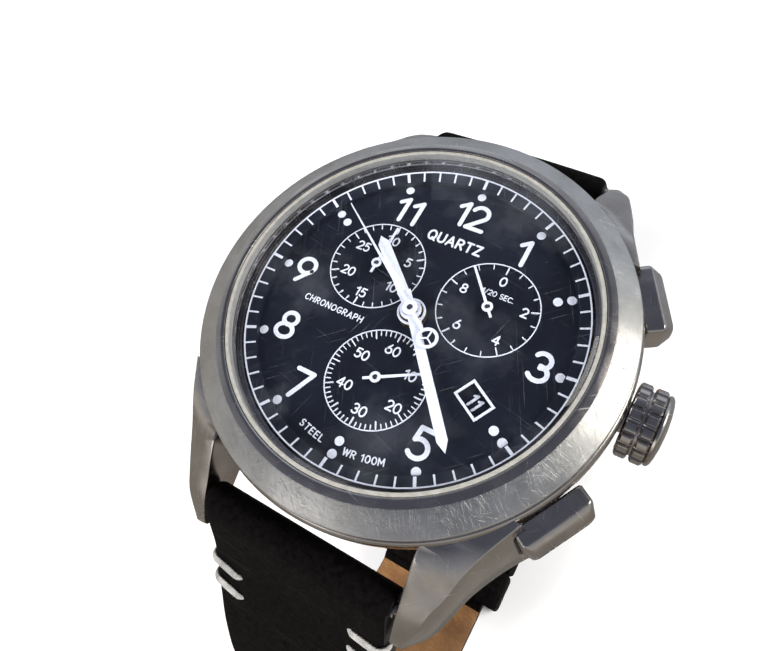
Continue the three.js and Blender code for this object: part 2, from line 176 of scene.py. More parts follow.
def piece(name, verts, faces, material, body, replaces=(), sharp=35.0, slot=None):
    """A mesh piece from vertices in millimetres, with edges sharp above an angle in degrees."""
    mesh = solid_mesh(name, verts, faces)
    obj = bpy.data.objects.new(name, mesh)
    mark_sharp(obj, sharp)
    bpy.context.scene.collection.objects.link(obj)
    for m in material if isinstance(material, (list, tuple)) else [material]:
        mesh.materials.append(m)
    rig.ride(obj, body)
    if replaces:
        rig.replaces(obj, *replaces)
    if slot:
        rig.slot(obj, slot)
    return obj


class Shape:
    """Collects vertices and faces, so that several solids can make one piece."""

    def __init__(self):
        self.verts = []
        self.faces = []

    def __iter__(self):
        return iter((self.verts, self.faces))

    def add(self, verts, faces, move=None):
        start = len(self.verts)
        self.verts += [move @ Vector(v) if move else Vector(v) for v in verts]
        self.faces += [[start + i for i in f] for f in faces]
        return self


def rounded(points, radius, steps=4, closed=True):
    """A 2D outline with its corners replaced by arcs; radius may be one number or one per point."""
    out = []
    count = len(points)
    radii = radius if isinstance(radius, (list, tuple)) else [radius] * count
    for i, p in enumerate(points):
        if not closed and i in (0, count - 1) or radii[i] <= 0:
            out.append(tuple(p))
            continue
        here = Vector(p)
        before = Vector(points[i - 1]) - here
        after = Vector(points[(i + 1) % count]) - here
        reach = min(radii[i], before.length * 0.45, after.length * 0.45)
        a = here + before.normalized() * reach
        b = here + after.normalized() * reach
        for k in range(steps + 1):
            t = k / steps
            q = a * (1 - t) ** 2 + here * 2 * t * (1 - t) + b * t * t
            out.append((q.x, q.y))
    return out


def turned(profile, segments=192, on_axis=False):
    """Vertices and faces of a (radius, height) profile turned about Z."""
    verts = []
    faces = []
    count = len(profile)
    for i in range(segments):
        a = 2 * math.pi * i / segments
        verts += [(r * math.cos(a), r * math.sin(a), z) for r, z in profile]
    spans = count - 1 if on_axis else count
    for i in range(segments):
        j = (i + 1) % segments
        for k in range(spans):
            m = (k + 1) % count
            quad = [i * count + k, j * count + k, j * count + m, i * count + m]
            if on_axis and k == 0 and profile[0][0] == 0:
                quad = [0, j * count + m, i * count + m]
            elif on_axis and m == count - 1 and profile[m][0] == 0:
                quad = [i * count + k, j * count + k, m]
            faces.append(quad)
    return verts, faces


def washer(inner, outer, low, high, corner, segments):
    """A flat ring about Z with its edges rounded."""
    return turned(rounded([(inner, low), (outer, low), (outer, high), (inner, high)], corner), segments)


def pin(radius, low, high, segments):
    return turned([(0, low), (radius, low), (radius, high), (0, high)], segments, on_axis=True)


def prism(outline, low, high):
    """Vertices and faces of a closed 2D outline between two heights."""
    n = len(outline)
    verts = [(x, y, low) for x, y in outline] + [(x, y, high) for x, y in outline]
    faces = [list(range(n))[::-1], list(range(n, 2 * n))]
    faces += [[i, (i + 1) % n, n + (i + 1) % n, n + i] for i in range(n)]
    return verts, faces


def loft(rings, closed_ends=True):
    """Vertices and faces through rings with the same number of points."""
    n = len(rings[0])
    verts = [p for ring in rings for p in ring]
    faces = []
    for s in range(len(rings) - 1):
        for i in range(n):
            j = (i + 1) % n
            faces.append([s * n + i, s * n + j, (s + 1) * n + j, (s + 1) * n + i])
    if closed_ends:
        faces.append(list(range(n))[::-1])
        faces.append([(len(rings) - 1) * n + i for i in range(n)])
    return verts, faces


def radial(degrees):
    """Turns a shape that runs along +Z so that it points outwards at an angle, at the stem's height."""
    turn = Matrix.Rotation(math.radians(degrees), 4, "Z") @ Matrix.Rotation(math.radians(90), 4, "Y")
    return Matrix.Translation((0, 0, STEM_Z)) @ turn


def bevelled(obj, width, segments=2, angle=30.0):
    mod = obj.modifiers.new("bevel", "BEVEL")
    mod.width = width * MM
    mod.segments = segments
    mod.limit_method = "ANGLE"
    mod.angle_limit = math.radians(angle)
    mod.harden_normals = True


def circle(radius, segments=32, cx=0.0, cy=0.0):
    step = 2 * math.pi / segments
    return [(cx + radius * math.cos(i * step), cy + radius * math.sin(i * step)) for i in range(segments)]


def smooth(t):
    t = min(1.0, max(0.0, t))
    return t * t * (3 - 2 * t)


def spline(points, t):
    """A point of the Catmull-Rom curve through the points, t from 0 to 1."""
    n = len(points) - 1
    s = min(n - 1e-9, max(0.0, t * n))
    i = int(s)
    u = s - i
    p = [Vector(points[min(n, max(0, i + k))]) for k in (-1, 0, 1, 2)]
    a = p[1] * 2
    b = p[2] - p[0]
    c = p[0] * 2 - p[1] * 5 + p[2] * 4 - p[3]
    d = -p[0] + p[1] * 3 - p[2] * 3 + p[3]
    return tuple((a + b * u + c * u * u + d * u * u * u) * 0.5)


def rounded_rect(width, height, radius, steps=6):
    w, h = width / 2, height / 2
    return rounded([(-w, -h), (w, -h), (w, h), (-w, h)], radius, steps)


def cut(obj, shape, name, operation="DIFFERENCE"):
    """Cuts a solid out of a piece, or joins it on, at once, so that no helper object is left."""
    mesh = solid_mesh(name, *shape)
    helper = bpy.data.objects.new(name, mesh)
    bpy.context.scene.collection.objects.link(helper)
    mod = obj.modifiers.new(name, "BOOLEAN")
    mod.operation = operation
    mod.solver = "EXACT"
    mod.object = helper
    graph = bpy.context.evaluated_depsgraph_get()
    done = bpy.data.meshes.new_from_object(obj.evaluated_get(graph))
    obj.modifiers.remove(mod)
    old = obj.data
    obj.data = done
    done.name = old.name
    bpy.data.objects.remove(helper)
    bpy.data.meshes.remove(mesh)
    bpy.data.meshes.remove(old)


# ---------------------------------------------------------------- material helpers

class Nodes:
    """A material's node tree with short calls for the nodes used here."""

    def __init__(self, name):
        self.material = bpy.data.materials.new(name)
        self.material.use_nodes = True
        self.tree = self.material.node_tree
        self.shader = self.tree.nodes["Principled BSDF"]
        self.output = self.tree.nodes["Material Output"]
        self.coords = self.tree.nodes.new("ShaderNodeTexCoord").outputs["Object"]
        self.mm = self.vector("MULTIPLY", self.coords, (1000, 1000, 1000))

    def link(self, a, b):
        if isinstance(a, bpy.types.NodeSocket):
            self.tree.links.new(a, b)
        else:
            b.default_value = a

    def set(self, **values):
        for key, value in values.items():
            self.link(value, self.shader.inputs[key.replace("_", " ")])

    def node(self, kind, **inputs):
        """A new node with its inputs set or linked by name."""
        n = self.tree.nodes.new("ShaderNode" + kind)
        for key, value in inputs.items():
            self.link(value, n.inputs[key])
        return n

    def filled(self, kind, *inputs):
        """A new node with its inputs set or linked in order."""
        n = self.tree.nodes.new("ShaderNode" + kind)
        for value, socket in zip(inputs, n.inputs):
            self.link(value, socket)
        return n

    def vector(self, operation, a, b):
        n = self.filled("VectorMath", a, b)
        n.operation = operation
        return n.outputs[0]

    def math(self, operation, a, b=0.0, c=0.0):
        n = self.filled("Math", a, b, c)
        n.operation = operation
        return n.outputs[0]

    def mapped(self, scale=(1, 1, 1), turn=(0, 0, 0), source=None):
        radians = [math.radians(t) for t in turn]
        return self.node("Mapping", Vector=source or self.mm, Scale=scale, Rotation=radians).outputs[0]

    def turned_then_scaled(self, turn, scale):
        return self.mapped(scale=scale, source=self.mapped(turn=turn))

    def noise(self, vector, scale, detail=3.0, rough=0.55, distortion=0.0):
        n = self.node("TexNoise", Vector=vector, Scale=scale, Detail=detail, Roughness=rough,
                      Distortion=distortion)
        return n.outputs["Fac"]

    def voronoi(self, vector, scale):
        return self.node("TexVoronoi", Vector=vector, Scale=scale).outputs["Distance"]

    def span(self, value, low, high, out_low=0.0, out_high=1.0):
        """value from low to high as out_low to out_high, held at both ends."""
        return self.filled("MapRange", value, low, high, out_low, out_high).outputs[0]

    def blend(self, factor, a, b):
        n = self.tree.nodes.new("ShaderNodeMix")
        n.data_type = "RGBA"
        self.link(factor, n.inputs["Factor"])
        self.link(a, n.inputs["A"])
        self.link(b, n.inputs["B"])
        return next(o for o in n.outputs if o.type == "RGBA")

    def bump(self, height, distance_mm, strength=1.0, under=None):
        n = self.node("Bump", Strength=strength, Distance=distance_mm * MM, Height=height)
        if under:
            self.link(under, n.inputs["Normal"])
        return n.outputs[0]

    def polar(self):
        """Radius in millimetres and angle in radians about the dial's axis."""
        x, y, _ = self.filled("SeparateXYZ", self.mm).outputs
        r = self.math("SQRT", self.math("ADD", self.math("MULTIPLY", x, x), self.math("MULTIPLY", y, y)))
        return r, self.math("ARCTAN2", y, x)

    def joined(self, x, y, z=0.0):
        return self.filled("CombineXYZ", x, y, z).outputs[0]

    def hairlines(self, layers, amount=0.66, sharp=0.05, fine=6.0):
        """Random fine scratches: for each (turn, length factor, density) one layer of long thin streaks."""
        total = None
        for turn, stretch, density in layers:
            drawn_out = self.turned_then_scaled((0, 0, turn), (stretch, fine * density, stretch))
            streaks = self.noise(drawn_out, 1.0, 2.0)
            line = self.span(streaks, amount, amount + sharp)
            patch = self.noise(self.mapped(turn=(0, 0, turn * 1.7)), 0.35 * density, 1.0)
            line = self.math("MULTIPLY", line, self.span(patch, 0.45, 0.6))
            total = line if total is None else self.math("MAXIMUM", total, line)
        return total


def colour(r, g, b):
    return (r, g, b, 1.0)


# ---------------------------------------------------------------- materials

def steel_polished():
    m = Nodes("polished_steel")
    wear = m.noise(m.mm, 0.5, 4.0)
    smudge = m.noise(m.mm, 0.16, 3.0, 0.6)
    lines = m.hairlines([(17, 0.25, 1.1), (74, 0.3, 1.4), (-38, 0.22, 1.2)], 0.67)
    tint = m.blend(m.span(smudge, 0.35, 0.65), colour(0.44, 0.41, 0.39), colour(0.56, 0.53, 0.51))
    tint = m.blend(m.math("MULTIPLY", lines, 0.5), tint, colour(0.9, 0.9, 0.88))
    rough = m.math("ADD", m.span(wear, 0.35, 0.7, 0.16, 0.30), m.math("MULTIPLY", lines, 0.2))
    m.set(Base_Color=tint, Metallic=1.0, Roughness=rough)
    m.set(Normal=m.bump(m.math("SUBTRACT", wear, m.math("MULTIPLY", lines, 0.6)), 0.004, 0.5))
    return m.material


def steel_brushed():
    """The bezel's slope: turned brushing, with knocks and hairlines from wear."""
    m = Nodes("brushed_steel")
    r, angle = m.polar()
    brush = m.noise(m.joined(m.math("MULTIPLY", r, 9.0), m.math("MULTIPLY", angle, 5.0)), 1.0, 4.0, 0.6)
    smudge = m.noise(m.mm, 0.22, 4.0, 0.6)
    coarse = m.hairlines([(28, 0.30, 1.0), (50, 0.22, 1.2), (-20, 0.35, 1.5)], 0.66, 0.06, 9.0)
    hair = m.hairlines([(38, 0.5, 1.6), (8, 0.4, 1.3), (62, 0.5, 1.9), (-34, 0.6, 1.5)], 0.6, 0.1, 13.0)
    lines = m.math("MAXIMUM", coarse, m.math("MULTIPLY", hair, 0.6))
    dents = m.span(m.voronoi(m.mm, 0.55), 0.02, 0.16, 1.0, 0.0)
    tint = m.blend(m.span(smudge, 0.35, 0.65), colour(0.50, 0.49, 0.47), colour(0.68, 0.67, 0.66))
    tint = m.blend(m.math("MULTIPLY", lines, 0.8), tint, colour(0.95, 0.95, 0.93))
    rough = m.math("ADD", m.span(brush, 0.3, 0.7, 0.24, 0.36), m.math("MULTIPLY", smudge, 0.12))
    m.set(Base_Color=tint, Metallic=1.0, Roughness=rough)
    fine = m.bump(brush, 0.006, 0.35)
    cuts = m.bump(m.math("ADD", lines, m.math("MULTIPLY", dents, 0.6)), 0.02, 0.6, under=fine)
    m.set(Normal=cuts)
    return m.material


def dial_lacquer():
    m = Nodes("dial_lacquer")
    grain = m.noise(m.mm, 22.0, 2.0)
    cloud = m.noise(m.mm, 0.12, 2.0)
    base = m.blend(m.span(cloud, 0.35, 0.65), colour(0.006, 0.007, 0.012), colour(0.010, 0.012, 0.020))
    dust = m.span(m.voronoi(m.mm, 1.9), 0.0, 0.035, 1.0, 0.0)
    base = m.blend(m.math("MULTIPLY", dust, 0.25), base, colour(0.3, 0.32, 0.36))
    m.set(Base_Color=base, Roughness=m.span(grain, 0.3, 0.7, 0.42, 0.55), Specular_IOR_Level=0.35)
    m.set(Normal=m.bump(grain, 0.003, 0.3))
    return m.material


def even_finish(name, low, high, rough, scale, metal=0.0, detail=4.0, relief=(0.01, 0.4)):
    """A finish whose tint, gloss and fine relief follow one noise."""
    m = Nodes(name)
    n = m.noise(m.mm, scale, detail)
    m.set(Base_Color=m.blend(m.span(n, 0.3, 0.7), colour(*low), colour(*high)), Metallic=metal)
    m.set(Roughness=m.span(n, 0.3, 0.7, *rough), Normal=m.bump(n, *relief))
    return m.material


def crystal_glass():
    """Clear glass that lets the light straight through, with mirror gloss by angle and fine scratches."""
    m = Nodes("mineral_glass")
    tree = m.tree
    directions = [(12, 0.10, 1.0), (63, 0.07, 0.9), (-41, 0.12, 1.1), (-75, 0.09, 0.8)]
    lines = m.hairlines(directions, 0.71, 0.05, 16.0)
    haze = m.span(m.noise(m.mm, 0.10, 4.0, 0.65), 0.5, 0.75, 0.0, 0.035)
    clear = tree.nodes.new("ShaderNodeBsdfTransparent")
    clear.inputs[0].default_value = (0.95, 0.96, 0.98, 1)
    gloss = tree.nodes.new("ShaderNodeBsdfGlossy")
    m.link(m.span(lines, 0.0, 1.0, 0.02, 0.3), gloss.inputs["Roughness"])
    dust = tree.nodes.new("ShaderNodeBsdfDiffuse")
    m.link(m.blend(haze, colour(0.75, 0.78, 0.85), colour(0.9, 0.9, 0.9)), dust.inputs["Color"])
    fresnel = tree.nodes.new("ShaderNodeFresnel")
    fresnel.inputs["IOR"].default_value = 1.5
    side = tree.nodes.new("ShaderNodeNewGeometry")
    front = m.math("SUBTRACT", 1.0, side.outputs["Backfacing"])
    shine = tree.nodes.new("ShaderNodeMixShader")
    m.link(m.math("MULTIPLY", fresnel.outputs[0], front), shine.inputs[0])
    m.link(clear.outputs[0], shine.inputs[1])
    m.link(gloss.outputs[0], shine.inputs[2])
    worn = tree.nodes.new("ShaderNodeMixShader")
    m.link(m.math("ADD", m.math("MULTIPLY", lines, 0.16), haze), worn.inputs[0])
    m.link(shine.outputs[0], worn.inputs[1])
    m.link(dust.outputs[0], worn.inputs[2])
    m.link(worn.outputs[0], m.output.inputs["Surface"])
    tree.nodes.remove(m.shader)
    return m.material


def leather_black():
    m = Nodes("black_leather")
    pores = m.voronoi(m.vector("ADD", m.mm, (3.1, 7.7, 1.3)), 2.6)
    grain = m.noise(m.mm, 1.6, 5.0, 0.6, 0.4)
    fine = m.noise(m.mm, 9.0, 3.0)
    crease = m.span(m.noise(m.turned_then_scaled((0, 0, 4), (0.08, 0.8, 0.8)), 1.0, 3.0), 0.62, 0.7)
    tint = m.blend(m.span(grain, 0.3, 0.7), colour(0.0012, 0.001, 0.001), colour(0.0045, 0.0038, 0.0038))
    tint = m.blend(m.math("MULTIPLY", crease, 0.35), tint, colour(0.012, 0.011, 0.010))
    m.set(Base_Color=tint, Roughness=m.span(fine, 0.3, 0.7, 0.62, 0.8), Specular_IOR_Level=0.06)
    rough_skin = m.bump(m.math("ADD", pores, m.math("MULTIPLY", grain, 0.8)), 0.05, 0.5)
    m.set(Normal=m.bump(fine, 0.015, 0.5, under=rough_skin))
    return m.material


def leather_tan():
    m = Nodes("tan_flesh_side")
    fibre = m.noise(m.turned_then_scaled((0, 0, 12), (1.2, 3.2, 3.2)), 1.0, 5.0, 0.65, 0.6)
    stain = m.noise(m.mm, 0.14, 4.0, 0.6)
    tint = m.blend(m.span(fibre, 0.3, 0.7), colour(0.16, 0.075, 0.028), colour(0.30, 0.16, 0.065))
    tint = m.blend(m.span(stain, 0.4, 0.7, 0.0, 0.75), tint, colour(0.085, 0.038, 0.016))
    m.set(Base_Color=tint, Roughness=m.span(fibre, 0.3, 0.7, 0.6, 0.85))
    m.set(Normal=m.bump(fibre, 0.06, 0.6))
    return m.material


def edge_paint():
    m = Nodes("painted_edge")
    n = m.noise(m.mm, 1.2, 4.0)
    tint = m.blend(m.span(n, 0.35, 0.65), colour(0.0015, 0.0014, 0.0014), colour(0.005, 0.0045, 0.004))
    m.set(Base_Color=tint)
    m.set(Roughness=m.span(n, 0.3, 0.7, 0.4, 0.6), Normal=m.bump(n, 0.05, 0.5))
    return m.material


def waxed_thread():
    m = Nodes("waxed_thread")
    twist = m.tree.nodes.new("ShaderNodeTexWave")
    m.link(m.turned_then_scaled((0, 20, 35), (1, 1, 1)), twist.inputs["Vector"])
    twist.inputs["Scale"].default_value = 1.1
    twist.inputs["Distortion"].default_value = 1.5
    dirt = m.noise(m.mm, 0.9, 4.0)
    tint = m.blend(m.span(dirt, 0.35, 0.65), colour(0.22, 0.215, 0.20), colour(0.42, 0.41, 0.39))
    m.set(Base_Color=tint, Roughness=0.75, Normal=m.bump(twist.outputs["Fac"], 0.05, 0.6))
    return m.material


POLISHED = steel_polished()
BRUSHED = steel_brushed()
LACQUER = dial_lacquer()
PRINT = even_finish(
    "white_print", (0.70, 0.72, 0.78), (0.86, 0.87, 0.91), (0.55, 0.7), 5.0, detail=3.0, relief=(0.004, 0.3))
HAND = even_finish(
    "hand_paint", (0.74, 0.76, 0.86), (0.88, 0.89, 0.96), (0.28, 0.42), 3.0, detail=3.0, relief=(0.004, 0.25))
GLASS = crystal_glass()
LEATHER = leather_black()
TAN = leather_tan()
EDGE = edge_paint()
THREAD = waxed_thread()
# Finishes of the pieces inside the case and of the rubber and plastic trim
PLAIN = {name: even_finish(name, *numbers) for name, *numbers in (
    ("rubber", (0.010, 0.010, 0.011), (0.03, 0.03, 0.032), (0.6, 0.8), 3.0),
    ("nylon", (0.26, 0.255, 0.23), (0.36, 0.35, 0.32), (0.35, 0.55), 2.0),
    ("brass", (0.48, 0.34, 0.13), (0.68, 0.50, 0.22), (0.22, 0.4), 1.5, 1.0),
    ("copper", (0.36, 0.13, 0.05), (0.62, 0.28, 0.14), (0.25, 0.45), 4.0, 1.0),
    ("board", (0.012, 0.07, 0.025), (0.03, 0.14, 0.05), (0.3, 0.5), 1.2),
)}

SLOT_LOOKS = {
    "polished_steel": POLISHED, "brushed_steel": BRUSHED, "crystal": GLASS, "dial_black": LACQUER,
    "hand_white": HAND, "leather": LEATHER, **PLAIN,
}


def finish_cad_nodes():
    for sub in frame["record"]["subparts"]:
        mesh = frame["nodes"][sub["node"]].data
        mesh.materials.clear()
        mesh.materials.append(SLOT_LOOKS[sub["material_slot"]])


finish_cad_nodes()


# ---------------------------------------------------------------- camera, floor and light

CAMERA_AT = Vector((21.44, -19.94, 53.72 + DIAL_Z))
CAMERA_RIGHT = Vector((0.86278, 0.47771, -0.16550))
CAMERA_DOWN = Vector((0.36506, -0.81514, -0.44977))
FOCAL_LENGTHS_PER_WIDTH = 631.6 / 768
CAMERA_SHIFT = (-0.0388, -0.0141)
SENSOR = 36.0
LAMP_DISTANCE = 400


def make_camera():
    data = bpy.data.cameras.new("camera")
    data.sensor_width = SENSOR
    data.lens = SENSOR * FOCAL_LENGTHS_PER_WIDTH
    data.shift_x, data.shift_y = CAMERA_SHIFT
    data.clip_start = 0.001
    data.clip_end = 10.0
    camera = bpy.data.objects.new("camera", data)
    up = -CAMERA_DOWN
    back = CAMERA_RIGHT.cross(up)
    turn = Matrix((CAMERA_RIGHT, up, back)).transposed().to_4x4()
    camera.matrix_world = Matrix.Translation(CAMERA_AT * MM) @ turn
    bpy.context.scene.collection.objects.link(camera)
    bpy.context.scene.camera = camera


def make_floor():
    size = 600.0
    mesh = bpy.data.meshes.new("floor")
    corners = [(-size, -size), (size, -size), (size, size), (-size, size)]
    mesh.from_pydata([(x * MM, y * MM, LOWEST * MM) for x, y in corners], [], [(0, 1, 2, 3)])
    m = Nodes("pale_floor")
    n = m.noise(m.mm, 0.02, 2.0)
    m.set(Base_Color=m.blend(n, colour(0.86, 0.86, 0.86), colour(0.9, 0.9, 0.9)), Roughness=0.8)
    mesh.materials.append(m.material)
    floor = bpy.data.objects.new("floor", mesh)
    bpy.context.scene.collection.objects.link(floor)
    floor.visible_glossy = False
    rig.stage(floor)


def area_light(name, direction, size, power, tint, mirrored=False):
    """A square lamp, in millimetres, aimed at the dial; either it lights surfaces or polish mirrors it."""
    data = bpy.data.lights.new(name, "AREA")
    data.shape = "SQUARE"
    data.size = size * MM
    data.energy = power
    data.color = tint
    lamp = bpy.data.objects.new(name, data)
    at = Vector(direction).normalized() * LAMP_DISTANCE * MM
    lamp.location = at
    lamp.rotation_euler = at.to_track_quat("Z", "Y").to_euler()
    lamp.visible_glossy = mirrored
    lamp.visible_diffuse = not mirrored
    bpy.context.scene.collection.objects.link(lamp)


def make_light():
    world = bpy.data.worlds.new("studio")
    world.use_nodes = True
    tree = world.node_tree
    background = tree.nodes["Background"]
    coords = tree.nodes.new("ShaderNodeTexCoord")
    split = tree.nodes.new("ShaderNodeSeparateXYZ")
    tree.links.new(coords.outputs["Generated"], split.inputs[0])
    ramps = []
    for near in (True, False):
        ramp = tree.nodes.new("ShaderNodeValToRGB")
        low = (0.30, 0.28, 0.25) if near else (0.34, 0.36, 0.40)
        horizon = (0.72, 0.68, 0.60) if near else (0.78, 0.88, 1.0)
        stops = ((0.0, low), (0.12, horizon), (0.3, (0.42, 0.44, 0.48)), (0.75, (0.11, 0.12, 0.16)))
        for position, value in stops:
            stop = ramp.color_ramp.elements.new(position)
            stop.color = colour(*value)
        ramp.color_ramp.elements.remove(ramp.color_ramp.elements[0])
        ramp.color_ramp.elements.remove(ramp.color_ramp.elements[-1])
        tree.links.new(split.outputs["Z"], ramp.inputs[0])
        ramps.append(ramp)
    sides = tree.nodes.new("ShaderNodeMix")
    sides.data_type = "RGBA"
    tree.links.new(split.outputs["Y"], sides.inputs[0])
    tree.links.new(ramps[0].outputs[0], sides.inputs[6])
    tree.links.new(ramps[1].outputs[0], sides.inputs[7])
    tree.links.new(sides.outputs[2], background.inputs["Color"])
    background.inputs["Strength"].default_value = 1.0
    bpy.context.scene.world = world
    area_light("key", (0.75, 0.30, 0.60), 260, 2.6, (1.0, 0.98, 0.95))
    area_light("fill", (-0.45, -0.7, 0.60), 260, 2.6, (1.0, 0.985, 0.97))
    area_light("glare_right", (0.80, 0.36, 0.48), 190, 0.6, (1.0, 0.97, 0.88), mirrored=True)
    area_light("glare_low", (-0.30, -0.85, 0.42), 150, 0.09, (1.0, 0.97, 0.92), mirrored=True)
    area_light("sky", (-0.25, 0.75, 0.62), 170, 0.05, (0.75, 0.82, 1.0), mirrored=True)


make_camera()
make_floor()
make_light()
bpy.context.scene.view_settings.view_transform = "Standard"


# ---------------------------------------------------------------- case

# Stations along a lug: y, height of its inner edge, x and height of its ridge, x of its outer lower edge
LUG_STATIONS = [
    (13.0, 8.95, 17.4, 8.85, 19.5), (16.0, 8.95, 15.9, 8.3, 17.4), (18.6, 8.7, 14.8, 7.0, 15.95),
    (20.6, 7.25, 14.2, 5.75, 15.1), (22.4, 5.55, 13.45, 4.9, 14.5), (24.2, 3.9, 12.9, 3.5, 13.7),
    (26.1, 1.6, 11.7, 1.5, 12.0),
]


def lug_underside(y):
    return 1.4 - 1.15 * smooth((y - 19) / 4.2) + 0.5 * smooth((y - 24.6) / 2.0)


def lug(side_x, side_y):
    rings = []
    stations = 30
    for k in range(stations + 1):
        y, top, ridge, ridge_z, outer = spline(LUG_STATIONS, k / stations)
        under = lug_underside(y)
        inner = LUG_GAP / 2
        low_edge = min(under + 0.4, ridge_z - 0.1)
        section = [
            (inner, under), (inner, (under + top) / 2), (inner, top - 0.22), (inner + 0.06, top - 0.07),
            (inner + 0.22, top), ((inner + ridge) / 2, (top + ridge_z) / 2 + 0.12),
            (ridge - 0.14, ridge_z + 0.07), (ridge, ridge_z), (ridge + 0.06, ridge_z - 0.13),
            (ridge + (outer - ridge) * 0.5, ridge_z - (ridge_z - low_edge) * 0.45),
            (outer, low_edge), (outer - 0.06, (low_edge + under) / 2), (outer - 0.25, under),
        ]
        rings.append([(x * side_x, y * side_y, z) for x, z in section])
    tip = rings[-1]
    middle = sum((Vector(p) for p in tip), Vector()) / len(tip)
    for shrink, push in ((0.92, 0.06), (0.7, 0.1)):
        rings.append([
            (middle.x + (x - middle.x) * shrink, y + push * side_y, middle.z + (z - middle.z) * shrink)
            for x, y, z in tip
        ])
    return loft(rings)


def build_case():
    profile = rounded([
        (17.0, 1.0), (19.2, 1.0), (20.2, 1.7), (20.8, 3.2), (21.1, 5.6), (CASE_R, 7.6), (CASE_R, 8.75),
        (21.0, 9.1), (17.0, 9.1),
    ], [0.05, 0.3, 0.5, 0.5, 0.5, 0.3, 0.25, 0.15, 0.05])
    case = piece("mid_case_body", *turned(profile, 192), POLISHED, "case", ["mid_case"], 40, "polished_steel")
    for x in (-1, 1):
        for y in (-1, 1):
            cut(case, Shape().add(*lug(x, y)), "lug", "UNION")
    cut(case, Shape().add(*pin(16.95, 0, 12, 192)), "bore")
    for angle in PUSHER_ANGLES.values():
        cut(case, Shape().add(*prism(rounded_rect(4.5, 7.6, 0.9), 20.2, 26.0), radial(angle)), "pocket")
    mark_sharp(case, 38)


def build_bezel():
    profile = rounded([
        (17.25, 9.25), (20.75, 9.25), (BEZEL_R, 9.45), (BEZEL_R, 9.95), (18.78, 11.22), (18.1, 11.46),
        (17.85, 11.36), (17.85, 10.35), (17.25, 10.35),
    ], [0.05, 0.08, 0.1, 0.14, 0.08, 0.12, 0.06, 0.05, 0.05])
    looks = [BRUSHED, POLISHED]
    bezel = piece("bezel_ring", *turned(profile, 256), looks, "case", ["bezel"], 30, "brushed_steel")
    for face in bezel.data.polygons:
        r = math.hypot(face.center.x, face.center.y) / MM
        if r < 18.75 or face.center.z / MM < 9.9:
            face.material_index = 1


def build_crystal():
    edge = [(17.35, 10.5), (17.35, 11.28), (17.05, 11.5)]
    angles = [math.pi / 2 * k / 14 for k in range(1, 14)]
    dome = [(17.0 * math.cos(a), 11.5 + 0.58 * math.sin(a)) for a in angles]
    profile = [(0, 10.5), *edge, *dome, (0, 12.08)]
    piece("crystal_dome", *turned(profile, 192, on_axis=True), GLASS, "case", ["crystal"], 25, "crystal")
    seal = washer(17.42, 17.8, 10.4, 11.3, 0.06, 192)
    piece("crystal_seal", *seal, PLAIN["nylon"], "case", ["crystal_gasket"], 30, "nylon")


# ---------------------------------------------------------------- printing on the dial

INK = 0.03
# Strokes that cross differ a little in height, so that no two faces lie in one plane
CROSSING_STEP = 0.003
CORNER_STEP = 0.007


def stroke(shape, points, width, z, height=INK, closed=False, ends=8):
    """A raised line of ink of even width with round ends, its points in millimetres on the dial."""
    half = width / 2
    pts = [Vector(p) for p in points]
    n = len(pts)
    for i in range(1, n - 1):
        if not closed and (pts[i] - pts[i - 1]).angle(pts[i + 1] - pts[i], 0.0) > math.radians(52):
            stroke(shape, pts[:i + 1], width, z, height, False, ends)
            stroke(shape, pts[i:], width, z, height + CORNER_STEP, False, ends)
            return
    left = []
    right = []
    for i, p in enumerate(pts):
        before = pts[(i - 1) % n] if closed or i > 0 else None
        after = pts[(i + 1) % n] if closed or i < n - 1 else None
        a = (p - before).normalized() if before is not None else (after - p).normalized()
        b = (after - p).normalized() if after is not None else a
        mid = (a + b)
        mid = mid.normalized() if mid.length > 1e-6 else a
        reach = half / max(0.5, mid.dot(a))
        side = Vector((-mid.y, mid.x)) * reach
        left.append(p + side)
        right.append(p - side)
    if closed:
        ring = len(left)
        verts = [(q.x, q.y, z) for q in left + right] + [(q.x, q.y, z + height) for q in left + right]
        faces = []
        for i in range(ring):
            j = (i + 1) % ring
            top = 2 * ring
            faces += [[top + i, top + ring + i, top + ring + j, top + j], [i, j, ring + j, ring + i]]
            faces += [[i, top + i, top + j, j], [ring + i, ring + j, top + ring + j, top + ring + i]]
        shape.add(verts, faces)
        return
    start = (pts[1] - pts[0]).angle_signed(Vector((1, 0)))
    finish = (pts[-1] - pts[-2]).angle_signed(Vector((1, 0)))
    outline = list(right)
    for k in range(1, ends):
        a = finish - math.pi / 2 + math.pi * k / ends
        outline.append(pts[-1] + Vector((math.cos(a), math.sin(a))) * half)
    outline += left[::-1]
    for k in range(1, ends):
        a = start + math.pi / 2 + math.pi * k / ends
        outline.append(pts[0] + Vector((math.cos(a), math.sin(a))) * half)
    shape.add(*prism([(q.x, q.y) for q in outline], z, z + height))


def arc(cx, cy, rx, ry, start, end, steps=14):
    """Points of an elliptical arc between two angles in degrees."""
    span = [math.radians(start + (end - start) * k / steps) for k in range(steps + 1)]
    return [(cx + rx * math.cos(a), cy + ry * math.sin(a)) for a in span]


